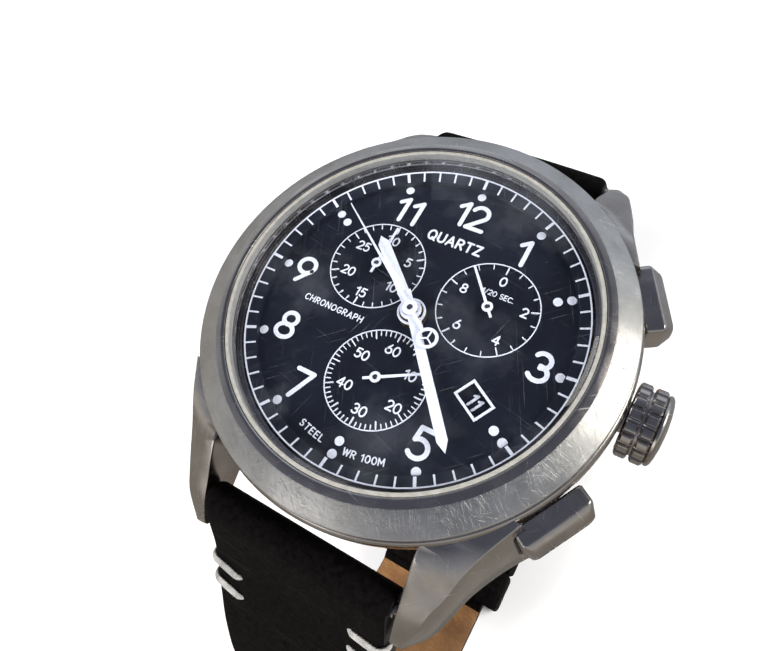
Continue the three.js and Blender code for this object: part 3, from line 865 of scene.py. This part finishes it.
# Each character as strokes in a box one unit high, with its width
GLYPHS = {
    "0": (0.66, [arc(0.33, 0.5, 0.33, 0.5, 90, 450, 28)]),
    "1": (0.36, [[(0.02, 0.78), (0.3, 1.0), (0.3, 0.0)]]),
    "2": (0.62, [arc(0.31, 0.7, 0.3, 0.3, 160, -30, 14) + [(0.02, 0.0), (0.64, 0.0)]]),
    "3": (0.62, [arc(0.30, 0.735, 0.27, 0.265, 150, -90, 14), arc(0.30, 0.27, 0.31, 0.27, 90, -150, 14)]),
    "4": (0.70, [[(0.5, 0.0), (0.5, 1.0), (0.0, 0.28), (0.7, 0.28)]]),
    "5": (0.62, [[(0.56, 1.0), (0.12, 1.0), (0.08, 0.56)] + arc(0.29, 0.32, 0.32, 0.32, 128, -140, 16)]),
    "6": (0.66, [[(0.46, 1.0), (0.06, 0.46)] + arc(0.33, 0.31, 0.32, 0.31, 150, 510, 26)]),
    "7": (0.62, [[(0.0, 1.0), (0.62, 1.0), (0.18, 0.0)]]),
    "8": (0.66, [arc(0.33, 0.755, 0.26, 0.245, -90, 270, 22), arc(0.33, 0.265, 0.32, 0.265, 90, 450, 24)]),
    "9": (0.66, [[(0.2, 0.0), (0.6, 0.54)] + arc(0.33, 0.69, 0.32, 0.31, -30, 330, 26)]),
    "A": (0.72, [[(0.0, 0.0), (0.36, 1.0), (0.72, 0.0)], [(0.13, 0.32), (0.59, 0.32)]]),
    "C": (0.66, [arc(0.38, 0.5, 0.38, 0.5, 45, 315, 20)]),
    "E": (0.54, [[(0.54, 1.0), (0.0, 1.0), (0.0, 0.0), (0.54, 0.0)], [(0.0, 0.52), (0.46, 0.52)]]),
    "G": (0.72, [arc(0.38, 0.5, 0.38, 0.5, 45, 340, 20) + [(0.74, 0.44), (0.44, 0.44)]]),
    "H": (0.66, [[(0.0, 0.0), (0.0, 1.0)], [(0.66, 0.0), (0.66, 1.0)], [(0.0, 0.52), (0.66, 0.52)]]),
    "L": (0.5, [[(0.0, 1.0), (0.0, 0.0), (0.5, 0.0)]]),
    "M": (0.8, [[(0.0, 0.0), (0.0, 1.0), (0.4, 0.3), (0.8, 1.0), (0.8, 0.0)]]),
    "N": (0.68, [[(0.0, 0.0), (0.0, 1.0), (0.68, 0.0), (0.68, 1.0)]]),
    "O": (0.76, [arc(0.38, 0.5, 0.38, 0.5, 90, 450, 24)]),
    "P": (0.56, [[(0.0, 0.0), (0.0, 1.0), (0.28, 1.0)] + arc(0.30, 0.72, 0.26, 0.28, 90, -90, 10)
                 + [(0.0, 0.44)]]),
    "Q": (0.76, [arc(0.38, 0.5, 0.38, 0.5, 90, 450, 24), [(0.48, 0.22), (0.78, -0.06)]]),
    "R": (0.62, [[(0.0, 0.0), (0.0, 1.0), (0.3, 1.0)] + arc(0.32, 0.74, 0.26, 0.26, 90, -90, 10)
                 + [(0.0, 0.48)], [(0.28, 0.48), (0.62, 0.0)]]),
    "S": (0.58, [arc(0.29, 0.755, 0.27, 0.245, 40, 265, 12) + arc(0.29, 0.255, 0.29, 0.255, 85, -140, 12)]),
    "T": (0.62, [[(0.0, 1.0), (0.62, 1.0)], [(0.31, 1.0), (0.31, 0.0)]]),
    "U": (0.66, [[(0.0, 1.0), (0.0, 0.33)] + arc(0.33, 0.33, 0.33, 0.33, 180, 360, 12) + [(0.66, 1.0)]]),
    "W": (0.98, [[(0.0, 1.0), (0.24, 0.0), (0.49, 0.9), (0.74, 0.0), (0.98, 1.0)]]),
    "Z": (0.62, [[(0.0, 1.0), (0.62, 1.0), (0.0, 0.0), (0.62, 0.0)]]),
    "/": (0.4, [[(0.0, -0.05), (0.4, 1.05)]]),
    ".": (0.12, [[(0.06, 0.0), (0.06, 0.03)]]),
    " ": (0.3, []),
}


def word_width(text, height, gap):
    return sum(GLYPHS[c][0] * height for c in text) + gap * (len(text) - 1)


def glyph(shape, char, height, place, width, z, squeeze=1.0):
    """One character, with place mapping its box in millimetres onto the dial."""
    for layer, points in enumerate(GLYPHS[char][1]):
        on_dial = [place(x * height * squeeze, y * height) for x, y in points]
        closed = (Vector(on_dial[0]) - Vector(on_dial[-1])).length < 1e-6 and len(on_dial) > 4
        if closed:
            on_dial = on_dial[:-1]
        stroke(shape, on_dial, width, z, INK + CROSSING_STEP * layer, closed)


def straight_text(shape, text, centre, height, width, z, gap=None, turn=0.0, squeeze=1.0):
    gap = height * 0.28 if gap is None else gap
    total = word_width(text, height * squeeze, gap)
    x = -total / 2
    cos, sin = math.cos(math.radians(turn)), math.sin(math.radians(turn))
    for char in text:
        def place(u, v, x=x):
            px, py = x + u, v - height / 2
            return (centre[0] + px * cos - py * sin, centre[1] + px * sin + py * cos)
        glyph(shape, char, height, place, width, z, squeeze)
        x += GLYPHS[char][0] * height * squeeze + gap


def curved_text(shape, text, radius, middle, height, width, z, gap):
    """Text that stands on an arc below the centre, its letters' tops towards the centre."""
    total = word_width(text, height, gap)
    x = -total / 2
    for char in text:
        half = GLYPHS[char][0] * height / 2
        angle = math.radians(middle) + (x + half) / radius

        def place(u, v, angle=angle, half=half):
            r = radius - v + height / 2
            along = u - half
            c, s = math.cos(angle), math.sin(angle)
            return (r * c - along * s, r * s + along * c)
        glyph(shape, char, height, place, width, z)
        x += 2 * half + gap


HOUR_NUMERALS = [
    ("12", (0.1, 12.6)), ("11", (-6.45, 10.7)), ("1", (6.75, 10.6)), ("3", (13.15, 0.2)),
    ("5", (6.75, -10.75)), ("7", (-6.5, -10.85)), ("8", (-11.15, -6.1)), ("9", (-13.0, 0.0)),
]
# The three small dials: place, radius, number of ticks, every how many is long, and where each number stands
REGISTERS = [
    {
        "name": "minute_counter_print", "x": -6.2, "y": 3.6, "r": 4.95, "ticks": 30, "long": 5,
        "numbers": {
            "30": (-6.2, 6.8), "5": (-3.4, 5.1), "10": (-3.6, 1.95), "15": (-6.2, 0.2), "20": (-8.75, 1.9),
            "25": (-8.75, 5.05),
        },
    },
    {
        "name": "fraction_print", "x": 6.25, "y": 3.6, "r": 5.0, "ticks": 20, "long": 4,
        "numbers": {"0": (6.35, 6.9), "2": (9.6, 4.65), "4": (8.4, 1.0), "6": (4.3, 1.0), "8": (3.15, 4.75)},
    },
    {
        "name": "running_seconds_print", "x": 0.0, "y": -7.2, "r": 5.0, "ticks": 60, "long": 5,
        "numbers": {
            "60": (0.0, -4.0), "10": (2.75, -5.55), "20": (2.85, -8.85), "30": (0.1, -10.5),
            "40": (-2.55, -8.85), "50": (-2.55, -5.6),
        },
    },
]
DATE_AT = (9.19, -5.15)
DATE_TURN = -30.0
DATE_WINDOW = (2.8, 1.8)
DATE_RING_TOP = 7.68
DATE_PLACE = Matrix.Translation((*DATE_AT, 0)) @ Matrix.Rotation(math.radians(DATE_TURN), 4, "Z")


def dots(shape, z):
    for hour in range(1, 13):
        a = math.radians(90 - 30 * hour)
        radii = (15.1, 13.8) if hour in (2, 4, 6, 10) else (15.13,)
        for r in radii:
            shape.add(*prism(circle(0.45, 28, r * math.cos(a), r * math.sin(a)), z, z + INK))


def build_dial():
    under, face, over = DIAL_Z - 0.4, DIAL_Z - 0.02, DIAL_Z + 1
    recess = DIAL_Z - 0.14
    plate = washer(1.4, 16.7, under, face, 0, 128)
    dial = piece("dial_plate", *plate, LACQUER, "case", ["dial"], 30, "dial_black")
    cutters = []
    for reg in REGISTERS:
        place = Matrix.Translation((reg["x"], reg["y"], 0))
        r = reg["r"]
        sunk = turned([(0, recess), (r - 0.25, recess), (r - 0.1, over), (0, over)], 96, on_axis=True)
        cutters += [(place, *sunk), (place, *pin(0.42, DIAL_Z - 1, over, 24))]
    window = prism(rounded_rect(*DATE_WINDOW, 0), DIAL_Z - 1, over)
    cutters.append((DATE_PLACE, *window))
    for k, (move, verts, faces) in enumerate(cutters):
        cut(dial, Shape().add(verts, faces, move), f"cut_{k}")
    mark_sharp(dial, 30)


def build_printing():
    z = DIAL_Z - 0.02
    shape = Shape()
    for text, centre in HOUR_NUMERALS:
        gap = 0.62 if text == "11" else 0.42
        straight_text(shape, text, centre, 2.75, 0.46, z, gap, squeeze=1.05)
    dots(shape, z)
    straight_text(shape, "QUARTZ", (-0.1, 9.05), 1.05, 0.22, z, 0.34)
    straight_text(shape, "CHRONOGRAPH", (-7.8, -2.5), 0.62, 0.11, z, 0.22)
    straight_text(shape, "1/20 SEC.", (6.5, 5.35), 0.52, 0.09, z - 0.12, 0.13)
    curved_text(shape, "STEEL", 14.42, -101.5, 0.62, 0.12, z, 0.26)
    curved_text(shape, "WR 100M", 14.42, -79.0, 0.62, 0.12, z, 0.2)
    piece("dial_printing", *shape, PRINT, "case", [], 30, "hand_white")


def build_registers():
    ring_z = DIAL_Z - 0.02
    floor_z = DIAL_Z - 0.14
    for reg in REGISTERS:
        shape = Shape()
        centre = (reg["x"], reg["y"])
        stroke(shape, circle(reg["r"], 120, *centre), 0.11, ring_z, closed=True)
        for i in range(reg["ticks"]):
            a = math.radians(90 - 360 * i / reg["ticks"])
            main = i % reg["long"] == 0
            reach = 0.85 if main else 0.55
            wide = 0.12 if main else 0.09
            radii = (reg["r"] - 0.05, reg["r"] - reach)
            line = [(centre[0] + r * math.cos(a), centre[1] + r * math.sin(a)) for r in radii]
            stroke(shape, line, wide, floor_z, height=0.15, ends=3)
        for text, at in reg["numbers"].items():
            straight_text(shape, text, at, 0.92, 0.16, floor_z, 0.2)
        piece(reg["name"], *shape, PRINT, "case", [], 30, "hand_white")


# The minute ring's slope: radius and height of its inner edge, then radius of its outer edge and its rise
CHAPTER_SLOPE = ((15.62, 8.97), (16.78, 0.3))


def build_chapter():
    (r0, z0), (r1, rise) = CHAPTER_SLOPE
    top = [(15.55, 8.42), (15.55, 8.93), (r0, z0), (r1, 9.27), (16.85, 9.22), (16.85, 8.42)]
    piece("chapter_rim", *turned(top, 192), LACQUER, "case", ["chapter_ring"], 25, "dial_black")
    shape = Shape()

    def height_at(r):
        return z0 + (r - r0) / (r1 - r0) * rise

    ring = [(r, height_at(r) + up) for r, up in ((16.60, 0.005), (16.74, 0.005), (16.74, INK), (16.60, INK))]
    shape.add(*turned(ring, 240))
    for i in range(60):
        hour = i % 5 == 0
        inner, outer = 15.66, 16.66
        wide = 0.15 if hour else 0.09
        verts = []
        for r in (inner, outer):
            for side in (-wide, wide):
                verts += [(r, side, height_at(r) + up) for up in (0.0, INK)]
        faces = [[0, 1, 3, 2], [4, 6, 7, 5], [0, 4, 5, 1], [2, 3, 7, 6], [1, 5, 7, 3], [0, 2, 6, 4]]
        shape.add(verts, faces, Matrix.Rotation(math.radians(6 * i), 4, "Z"))
    piece("minute_track", *shape, PRINT, "case", [], 30, "hand_white")


def build_date():
    outer = rounded_rect(3.3, 2.3, 0)
    inner = rounded_rect(*DATE_WINDOW, 0)
    z0, z1 = DIAL_Z - 0.02, DIAL_Z + 0.05
    verts = [(x, y, z) for z in (z0, z1) for x, y in outer + inner]
    faces = []
    for i in range(4):
        j = (i + 1) % 4
        faces += [[i, j, 4 + j, 4 + i], [8 + i, 12 + i, 12 + j, 8 + j]]
        faces += [[i, 8 + i, 8 + j, j], [4 + i, 4 + j, 12 + j, 12 + i]]
    frame_shape = Shape().add(verts, faces, DATE_PLACE)
    piece("date_frame", *frame_shape, PRINT, "case", [], 30, "hand_white")
    disc = washer(8.9, 12.05, 7.46, DATE_RING_TOP, 0, 160)
    piece("date_disc", *disc, LACQUER, "date", ["date_ring"], 30, "dial_black")
    numbers = Shape()
    for day in range(31):
        a = DATE_TURN - 360 / 31 * day
        number = str((10 + day) % 31 + 1)
        r = math.hypot(*DATE_AT)
        cx, cy = r * math.cos(math.radians(a + 0.7)), r * math.sin(math.radians(a + 0.7))
        straight_text(numbers, number, (cx, cy), 1.25, 0.24, DATE_RING_TOP, 0.34, turn=a, squeeze=0.8)
    piece("date_numbers", *numbers, PRINT, "date", [], 30, "hand_white")


# ---------------------------------------------------------------- hands

def clockwise(angle, x=0.0, y=0.0):
    return Matrix.Translation((x, y, 0)) @ Matrix.Rotation(math.radians(-angle), 4, "Z")


def ridge_hand(points, low, high):
    """A hand blade with a slight roof: its outline at the base and a shrunken outline on top."""
    n = len(points)
    inner = [(x * 0.72, y if abs(x) > 1e-6 else y * 0.985) for x, y in points]
    verts = [(x, y, low) for x, y in points] + [(x, y, high - 0.05) for x, y in points]
    verts += [(x, y, high) for x, y in inner]
    faces = [list(range(n))[::-1], [2 * n + i for i in range(n)]]
    for i in range(n):
        j = (i + 1) % n
        faces += [[i, j, n + j, n + i], [n + i, n + j, 2 * n + j, 2 * n + i]]
    return verts, faces


def finish_hand(shape, body, node, bevel=0):
    blade = piece(node + "_blade", *shape, HAND, body, [node], 20, "hand_white")
    if bevel:
        bevelled(blade, bevel)


def build_hands():
    hour = Shape()
    blade = [(-0.5, -1.9), (0.5, -1.9), (0.56, 0), (0.6, 8.6), (0.0, 9.6), (-0.6, 8.6), (-0.56, 0)]
    hour.add(*ridge_hand(blade, 9.05, 9.27), clockwise(HOUR_ANGLE))
    hour.add(*washer(1.17, 1.4, 9.02, 9.28, 0.05, 48))
    finish_hand(hour, "hours", "hour_hand", 0.02)
    minute = Shape()
    blade = [(-0.44, -2.2), (0.44, -2.2), (0.48, 0), (0.5, 13.2), (0.0, 14.3), (-0.5, 13.2), (-0.48, 0)]
    minute.add(*ridge_hand(blade, 9.5, 9.69), clockwise(MINUTE_ANGLE))
    minute.add(*washer(0.7, 1.05, 9.48, 9.7, 0.05, 48))
    finish_hand(minute, "minutes", "minute_hand", 0.02)
    sweep = Shape()
    turn = clockwise(SWEEP_ANGLE)
    needle = [(-0.17, -2.7), (0.17, -2.7), (0.13, 7.0), (0.06, 14.4), (-0.06, 14.4), (-0.13, 7.0)]
    sweep.add(*ridge_hand(needle, 9.95, 10.08), turn)
    ring_at = turn @ Matrix.Translation((0, -3.7, 0))
    sweep.add(*washer(0.74, 1.05, 9.95, 10.13, 0.05, 48), ring_at)
    for spoke in range(3):
        arm = prism([(-0.07, 0), (0.07, 0), (0.07, 0.8), (-0.07, 0.8)], 9.96, 10.1)
        sweep.add(*arm, ring_at @ Matrix.Rotation(math.radians(120 * spoke + 180), 4, "Z"))
    sweep.add(*washer(0.28, 0.75, 9.9, 10.15, 0.06, 40))
    finish_hand(sweep, "sweep", "sweep_hand", 0.015)
    z0, z1 = DIAL_Z + 0.35, DIAL_Z + 0.48
    for reg, body, node, angle, reach in (
        (REGISTERS[0], "counter_30min", "counter_30min_hand", 0, 4.5),
        (REGISTERS[1], "twentieths", "twentieths_hand", 319, 4.65),
        (REGISTERS[2], "small_seconds", "small_seconds_hand", 61, 4.4),
    ):
        small = Shape()
        needle = [(-0.13, -1.2), (0.13, -1.2), (0.15, 0), (0.12, reach), (-0.12, reach), (-0.15, 0)]
        small.add(*ridge_hand(needle, z0, z1), clockwise(angle, reg["x"], reg["y"]))
        small.add(*washer(0.26, 0.55, z0, z1 + 0.02, 0.05, 32), clockwise(0, reg["x"], reg["y"]))
        finish_hand(small, body, node)


# ---------------------------------------------------------------- crown and push buttons

def build_crown():
    teeth = 18
    per = 12
    rows = [(21.5, 22.62), (22.88, 24.0)]
    heights = [(21.38, 2.7, 2.7), (21.42, 3.0, 2.95)]
    for low, high in rows:
        heights += [(low, 3.3, 3.08), (low + 0.16, 3.48, 3.12), (high - 0.16, 3.48, 3.12), (high, 3.3, 3.08)]
        heights += [(high + 0.05, 3.0, 3.0), (high + 0.2, 3.0, 3.0)]
    heights = heights[:-2] + [(24.06, 3.1, 3.05), (24.12, 3.25, 3.25), (24.3, 3.3, 3.3), (24.45, 3.22, 3.22)]
    heights += [(24.6, 3.0, 3.0), (24.74, 2.5, 2.5), (24.86, 1.7, 1.7), (24.93, 0.9, 0.9), (24.95, 0.2, 0.2)]
    count = teeth * per
    rings = []
    for x, crest, root in heights:
        ring = []
        for i in range(count):
            phase = (i % per) / per
            lift = smooth((0.5 - abs(phase - 0.5)) * 7 - 0.4)
            r = root + (crest - root) * lift
            a = 2 * math.pi * i / count
            ring.append((r * math.cos(a), r * math.sin(a), x))
        rings.append(ring)
    verts, faces = loft(rings)
    shape = Shape().add(verts, faces, radial(0))
    body = "crown_and_stem"
    piece("crown_knob", *shape, POLISHED, body, ["crown"], 28, "polished_steel")


def build_pusher(name):
    """A loaf-shaped cap: its outer face slopes away above and below and bulges along the case."""
    rings = []
    for out, height, width, corner in (
        (21.25, 3.7, 6.8, 0.5), (21.4, 4.1, 7.1, 0.6), (23.15, 4.1, 7.1, 0.6), (23.3, 3.95, 7.0, 0.6),
        (24.1, 2.1, 6.3, 0.6), (24.2, 1.7, 6.0, 0.5),
    ):
        bulge = 0.028 * smooth((out - 21.4) / 1.8)
        rings.append([(x, y, out - bulge * y * y) for x, y in rounded_rect(height, width, corner)])
    shape = Shape()
    angle = PUSHER_ANGLES[name]
    shape.add(*loft(rings), radial(angle))
    shape.add(*pin(0.7, 14.9, 22.2, 24), radial(angle))
    node = "pusher_" + name
    body = name + "_pusher"
    cap = piece(node + "_cap", *shape, POLISHED, body, [node], 22, "polished_steel")
    bevelled(cap, 0.08, 3, 22)


# ---------------------------------------------------------------- strap

SHARED_LINE = [(BAR_Y, BAR_Z), (26.3, -2.3), (30.3, -8.2), (33.9, -13.3)]
BUCKLE_LINE = SHARED_LINE + [
    (37.4, -19.2), (40.0, -26.0), (40.6, -32.0), (39.0, -38.8), (35.0, -44.8), (28.8, -49.2), (21.0, -51.0),
    (14.0, -51.3), (6.0, -51.3), (-1.0, -51.3),
]
TAIL_LINE = SHARED_LINE + [
    (38.4, -19.4), (43.0, -25.5), (46.6, -32.0), (48.0, -39.0), (46.2, -46.0), (41.0, -51.6), (34.0, -54.9),
    (26.0, -55.9), (16.5, -55.9),
]


def skew(z, bottom):
    return bottom * smooth((-z - 2) / 48)


def resample(line, count):
    """Evenly spaced points of the line with unit tangents and the distance along it."""
    fine = [Vector(spline(line, i / 1200)) for i in range(1201)]
    lengths = [0.0]
    for a, b in zip(fine, fine[1:]):
        lengths.append(lengths[-1] + (b - a).length)
    out = []
    k = 0
    for i in range(count):
        s = lengths[-1] * i / (count - 1)
        while k < 1199 and lengths[k + 1] < s:
            k += 1
        part = (s - lengths[k]) / max(1e-9, lengths[k + 1] - lengths[k])
        at = fine[k].lerp(fine[k + 1], part)
        along = (fine[min(1200, k + 3)] - fine[max(0, k - 3)]).normalized()
        out.append((at, along, s))
    return out, lengths[-1]


def strap_section(half_width, outer, inner):
    """Points (x, height) of the strap's section, height positive on its outer face, crowned a little."""
    corner = min(outer * 0.8, 0.9)
    crown = 0.12
    steps = 12
    points = []
    for i in range(steps + 1):
        u = -1 + 2 * i / steps
        points.append((u * (half_width - corner), outer - crown * u * u))
    for k in range(1, 6):
        a = math.pi / 2 * (1 - k / 5)
        side, top = half_width - corner, outer - crown - corner
        points.append((side + corner * math.cos(a), top + corner * math.sin(a)))
    points.append((half_width, -inner + 0.3))
    points.append((half_width - 0.1, -inner + 0.1))
    for i in range(steps + 1):
        u = 1 - 2 * i / steps
        points.append((u * (half_width - 0.3), -inner))
    return points + [(-x, h) for x, h in points[steps + 1:steps + 8][::-1]]


def strap_frame(line, side, bottom, count=110):
    """Places along one strap half: centre, outward unit vector, along vector and distance, in 3D."""
    rows, length = resample(line, count)
    out = []
    for at, along, s in rows:
        centre = Vector((skew(at.y, bottom), at.x * side, at.y))
        outward = Vector((0, -along.y * side, along.x))
        out.append((centre, outward, Vector((0, along.x * side, along.y)), s))
    return out, length


PADDED_UNTIL = 4
PADDING_FADE = 22
BAR_ROUND = 1.75
LUG_WIDTH = 20.6
END_WIDTH = 18.0


def fade(s):
    """How much of the padding is left at a distance along the strap."""
    return math.exp(-max(0.0, s - PADDED_UNTIL) / PADDING_FADE)


def outer_height(s):
    return 1.05 + 0.75 * fade(s)


def inner_height(s):
    return 1.1 + 0.8 * fade(s)


def half_width(z):
    return (LUG_WIDTH + (END_WIDTH - LUG_WIDTH) * smooth((-z - 2) / 48)) / 2


def build_strap_half(name, line, side, bottom, body, node, tab, tip):
    """One half as a loft: a round end on the spring bar, the padded run and a trimmed free end."""
    places, length = strap_frame(line, side, bottom)
    rings = []

    def ring(place, scale, shift):
        centre, outward, along, s = place
        fold = 1.2 * smooth((tab - (length - s)) / 0.6) if tab else 0.0
        width = half_width(centre.z)
        if tip and length - s < tip:
            width *= math.sqrt(max(0.0, 1 - (1 - (length - s) / tip) ** 2.3))
            width = max(width, 0.5)
        section = strap_section(width, outer_height(s), inner_height(s) + fold)
        return [centre + along * shift + Vector((x, 0, 0)) + outward * h * scale for x, h in section]

    for k in range(7):
        a = math.pi / 2 * (1 - k / 7)
        rings.append(ring(places[0], max(0.12, math.cos(a)), -BAR_ROUND * math.sin(a)))
    rings += [ring(place, 1.0, 0.0) for place in places]
    for scale, shift in ((0.93, 0.12), (0.75, 0.2)):
        rings.append(ring(places[-1], scale, shift))
    verts, faces = loft(rings)
    obj = piece(name, verts, faces, [LEATHER, TAN, EDGE], body, [node], 60, "leather")
    paint_strap(obj, places, length, tab)
    if tip:
        punch_holes(obj, places, length)
    return places, length


TAIL_HOLES = 6
FIRST_HOLE = 17.0
HOLE_PITCH = 6.5
HOLE_RADIUS = 0.9


def punch_holes(obj, places, length):
    """The holes for the buckle's tongue, counted from the tip."""
    punches = Shape()
    for i in range(TAIL_HOLES):
        wanted = length - FIRST_HOLE - HOLE_PITCH * i
        centre, outward, along, _ = min(places, key=lambda row: abs(row[3] - wanted))
        turn = Matrix((Vector((1, 0, 0)), along, outward)).transposed().to_4x4()
        punches.add(*prism(circle(HOLE_RADIUS, 24), -3.0, 3.0), Matrix.Translation(centre) @ turn)
    cut(obj, punches, "punch")


def paint_strap(obj, places, length, tab):
    """Gives each face of a strap half its outer, inner or edge leather."""
    for face in obj.data.polygons:
        c = face.center / MM
        _, outward, _, s = min(places, key=lambda row: (row[0].y - c.y) ** 2 + (row[0].z - c.z) ** 2)
        facing = face.normal.dot(outward)
        folded = tab and length - s < tab
        if abs(facing) < 0.5 and abs(face.normal.x) > 0.5 or s > length - 0.05:
            face.material_index = 2
        elif facing < -0.3 and s > 1.0 and not folded:
            face.material_index = 1


def capsule(path, radius, flat, up, segments=10):
    """A thread along a path, its ends rounded, flattened along the vector up."""
    rings = []
    n = len(path)
    for i, p in enumerate(path):
        a = path[max(0, i - 1)]
        b = path[min(n - 1, i + 1)]
        along = (b - a).normalized()
        side = along.cross(up[i]).normalized()
        lift = side.cross(along).normalized()
        t = i / (n - 1)
        taper = math.sqrt(max(0.02, 1 - (2 * t - 1) ** 6))
        r = radius * taper
        angles = [2 * math.pi * k / segments for k in range(segments)]
        rings.append([p + side * r * math.cos(q) + lift * r * flat * math.sin(q) for q in angles])
    return loft(rings)


STITCH_RUN = 3.1
STITCH_BEND = 1.12
STITCH_INSET = 0.9


def edge_stitch(shape, places, s, side_x, slant):
    """One thick stitch: a spindle across the outer face that goes over the strap's edge and down it."""
    centre, outward, along, _ = min(places, key=lambda row: abs(row[3] - s))
    top = outer_height(s) - 0.12
    width = half_width(centre.z)
    path = []
    ups = []
    for k in range(10):
        t = k / 9
        x = side_x * (width - STITCH_INSET - STITCH_RUN * (1 - t))
        height = top + 0.22 - 0.3 * (1 - smooth(t * 4))
        path.append(centre + Vector((x, 0, 0)) + outward * height + along * slant * (1 - t))
        ups.append(outward)
    for k in range(1, 7):
        a = math.pi / 2 * k / 6
        x = side_x * (width - STITCH_INSET + STITCH_BEND * math.sin(a))
        height = top - STITCH_INSET + STITCH_BEND * math.cos(a)
        path.append(centre + Vector((x, 0, 0)) + outward * height)
        ups.append((outward * math.cos(a) + Vector((side_x, 0, 0)) * math.sin(a)).normalized())
    path.append(centre + Vector((side_x * (width + 0.12), 0, 0)) - outward * 0.6)
    ups.append(Vector((side_x, 0, 0)))
    shape.add(*capsule(path, 0.52, 0.5, ups))


STITCHES = [(-1, 8.6, 0.9), (-1, 12.1, 0.9), (1, 5.9, -0.5), (1, 9.4, -0.5)]


def build_strap():
    tail = build_strap_half("strap_tail_leather", TAIL_LINE, 1, 0.0, "tail_half", "strap_tail", 0, 12.0)
    buckle = build_strap_half(
        "strap_buckle_leather", BUCKLE_LINE, -1, STRAP_SKEW, "buckle_half", "strap_buckle_half", 22.0, 0)
    for name, (places, _), body in (
        ("tail_stitches", tail, "tail_half"), ("buckle_half_stitches", buckle, "buckle_half"),
    ):
        shape = Shape()
        for side_x, s, slant in STITCHES:
            edge_stitch(shape, places, s, side_x, slant)
        piece(name, *shape, THREAD, body, [], 60, "leather")


KEEPER_Z = -52.2
BUCKLE_Y = 3.2
BUCKLE_Z = -51.3


def build_keeper(name, node, body, y, width):
    """A leather band bent round the strap: a rounded section swept round a rounded rectangle."""
    outer = rounded_rect(22.1, 9.85, 1.3, 8)
    inner = rounded_rect(19.9, 7.75, 0.7, 8)
    half = width / 2
    rings = []
    for (ox, oz), (ix, iz) in zip(outer, inner):
        a, b = Vector((ox, 0, oz)), Vector((ix, 0, iz))
        section = [(0, -half + 0.7), (0, half - 0.7), (0.12, half - 0.25), (0.4, half), (0.85, half),
                   (1, half - 0.2), (1, -half + 0.2), (0.85, -half), (0.4, -half), (0.12, -half + 0.25)]
        rings.append([a.lerp(b, t) + Vector((0, v, 0)) for t, v in section])
    rings.append(rings[0])
    verts, faces = loft(rings, closed_ends=False)
    shape = Shape().add(verts, faces, Matrix.Translation((STRAP_SKEW, y, KEEPER_Z)))
    piece(name, *shape, LEATHER, body, [node], 40, "leather")


def swept(path, section, up):
    """A section of (sideways, upwards) points swept along a path, with flat ends."""
    rings = []
    last = len(path) - 1
    for i, p in enumerate(path):
        along = (path[min(last, i + 1)] - path[max(0, i - 1)]).normalized()
        side = along.cross(up).normalized()
        rings.append([p + side * u + up * v for u, v in section])
    return loft(rings)


def build_buckle():
    flat = rounded([(-11.2, 1.5), (-11.2, 13.75), (11.2, 13.75), (11.2, 1.5)], 2.6, 10, closed=False)
    place = Matrix.Translation((STRAP_SKEW, 0, BUCKLE_Z))
    up = Vector((0, 0, 1))
    path = [Vector((x, y, 0)) for x, y in flat]
    shape = Shape().add(*swept(path, rounded_rect(1.95, 1.9, 0.75, 5), up), place)
    frame_piece = piece(
        "buckle_frame_wire", *shape, POLISHED, "buckle", ["buckle_frame"], 40, "polished_steel")
    bevelled(frame_piece, 0.15, 2, 50)
    bends = [(BUCKLE_Y + 0.6, -1.25), (BUCKLE_Y + 1.6, -1.5), (BUCKLE_Y + 4, -1.5), (BUCKLE_Y + 8, -1.5)]
    arm = [Vector((0, y, z)) for y, z in bends + [(14.3, -1.5)]]
    shape = Shape().add(*swept(arm, rounded_rect(2.1, 0.5, 0.2, 3), up), place)
    turn = Matrix.Translation((STRAP_SKEW, BUCKLE_Y, BUCKLE_Z)) @ Matrix.Rotation(math.radians(90), 4, "Y")
    shape.add(*washer(0.6, 1.3, -1.2, 1.2, 0.15, 40), turn)
    piece(
        "buckle_tongue_pin", *shape, POLISHED, "tongue", ["buckle_tongue"], 40,
        "polished_steel")


for build in (
    build_case, build_bezel, build_crystal, build_dial, build_printing, build_registers, build_chapter,
    build_date, build_hands, build_crown,
):
    build()
for button in PUSHER_ANGLES:
    build_pusher(button)
build_strap()
build_keeper("fixed_keeper_band", "fixed_keeper", "buckle_half", -10.0, 6.4)
build_keeper("sliding_keeper_band", "sliding_keeper", "loose_keeper", -16.4, 6.0)
build_buckle()

with open("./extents.json", "w") as sizes:
    both = {"cad": cad_box, "visual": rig.bounds()}
    json.dump({k: [list(corner) for corner in box] for k, box in both.items()}, sizes)
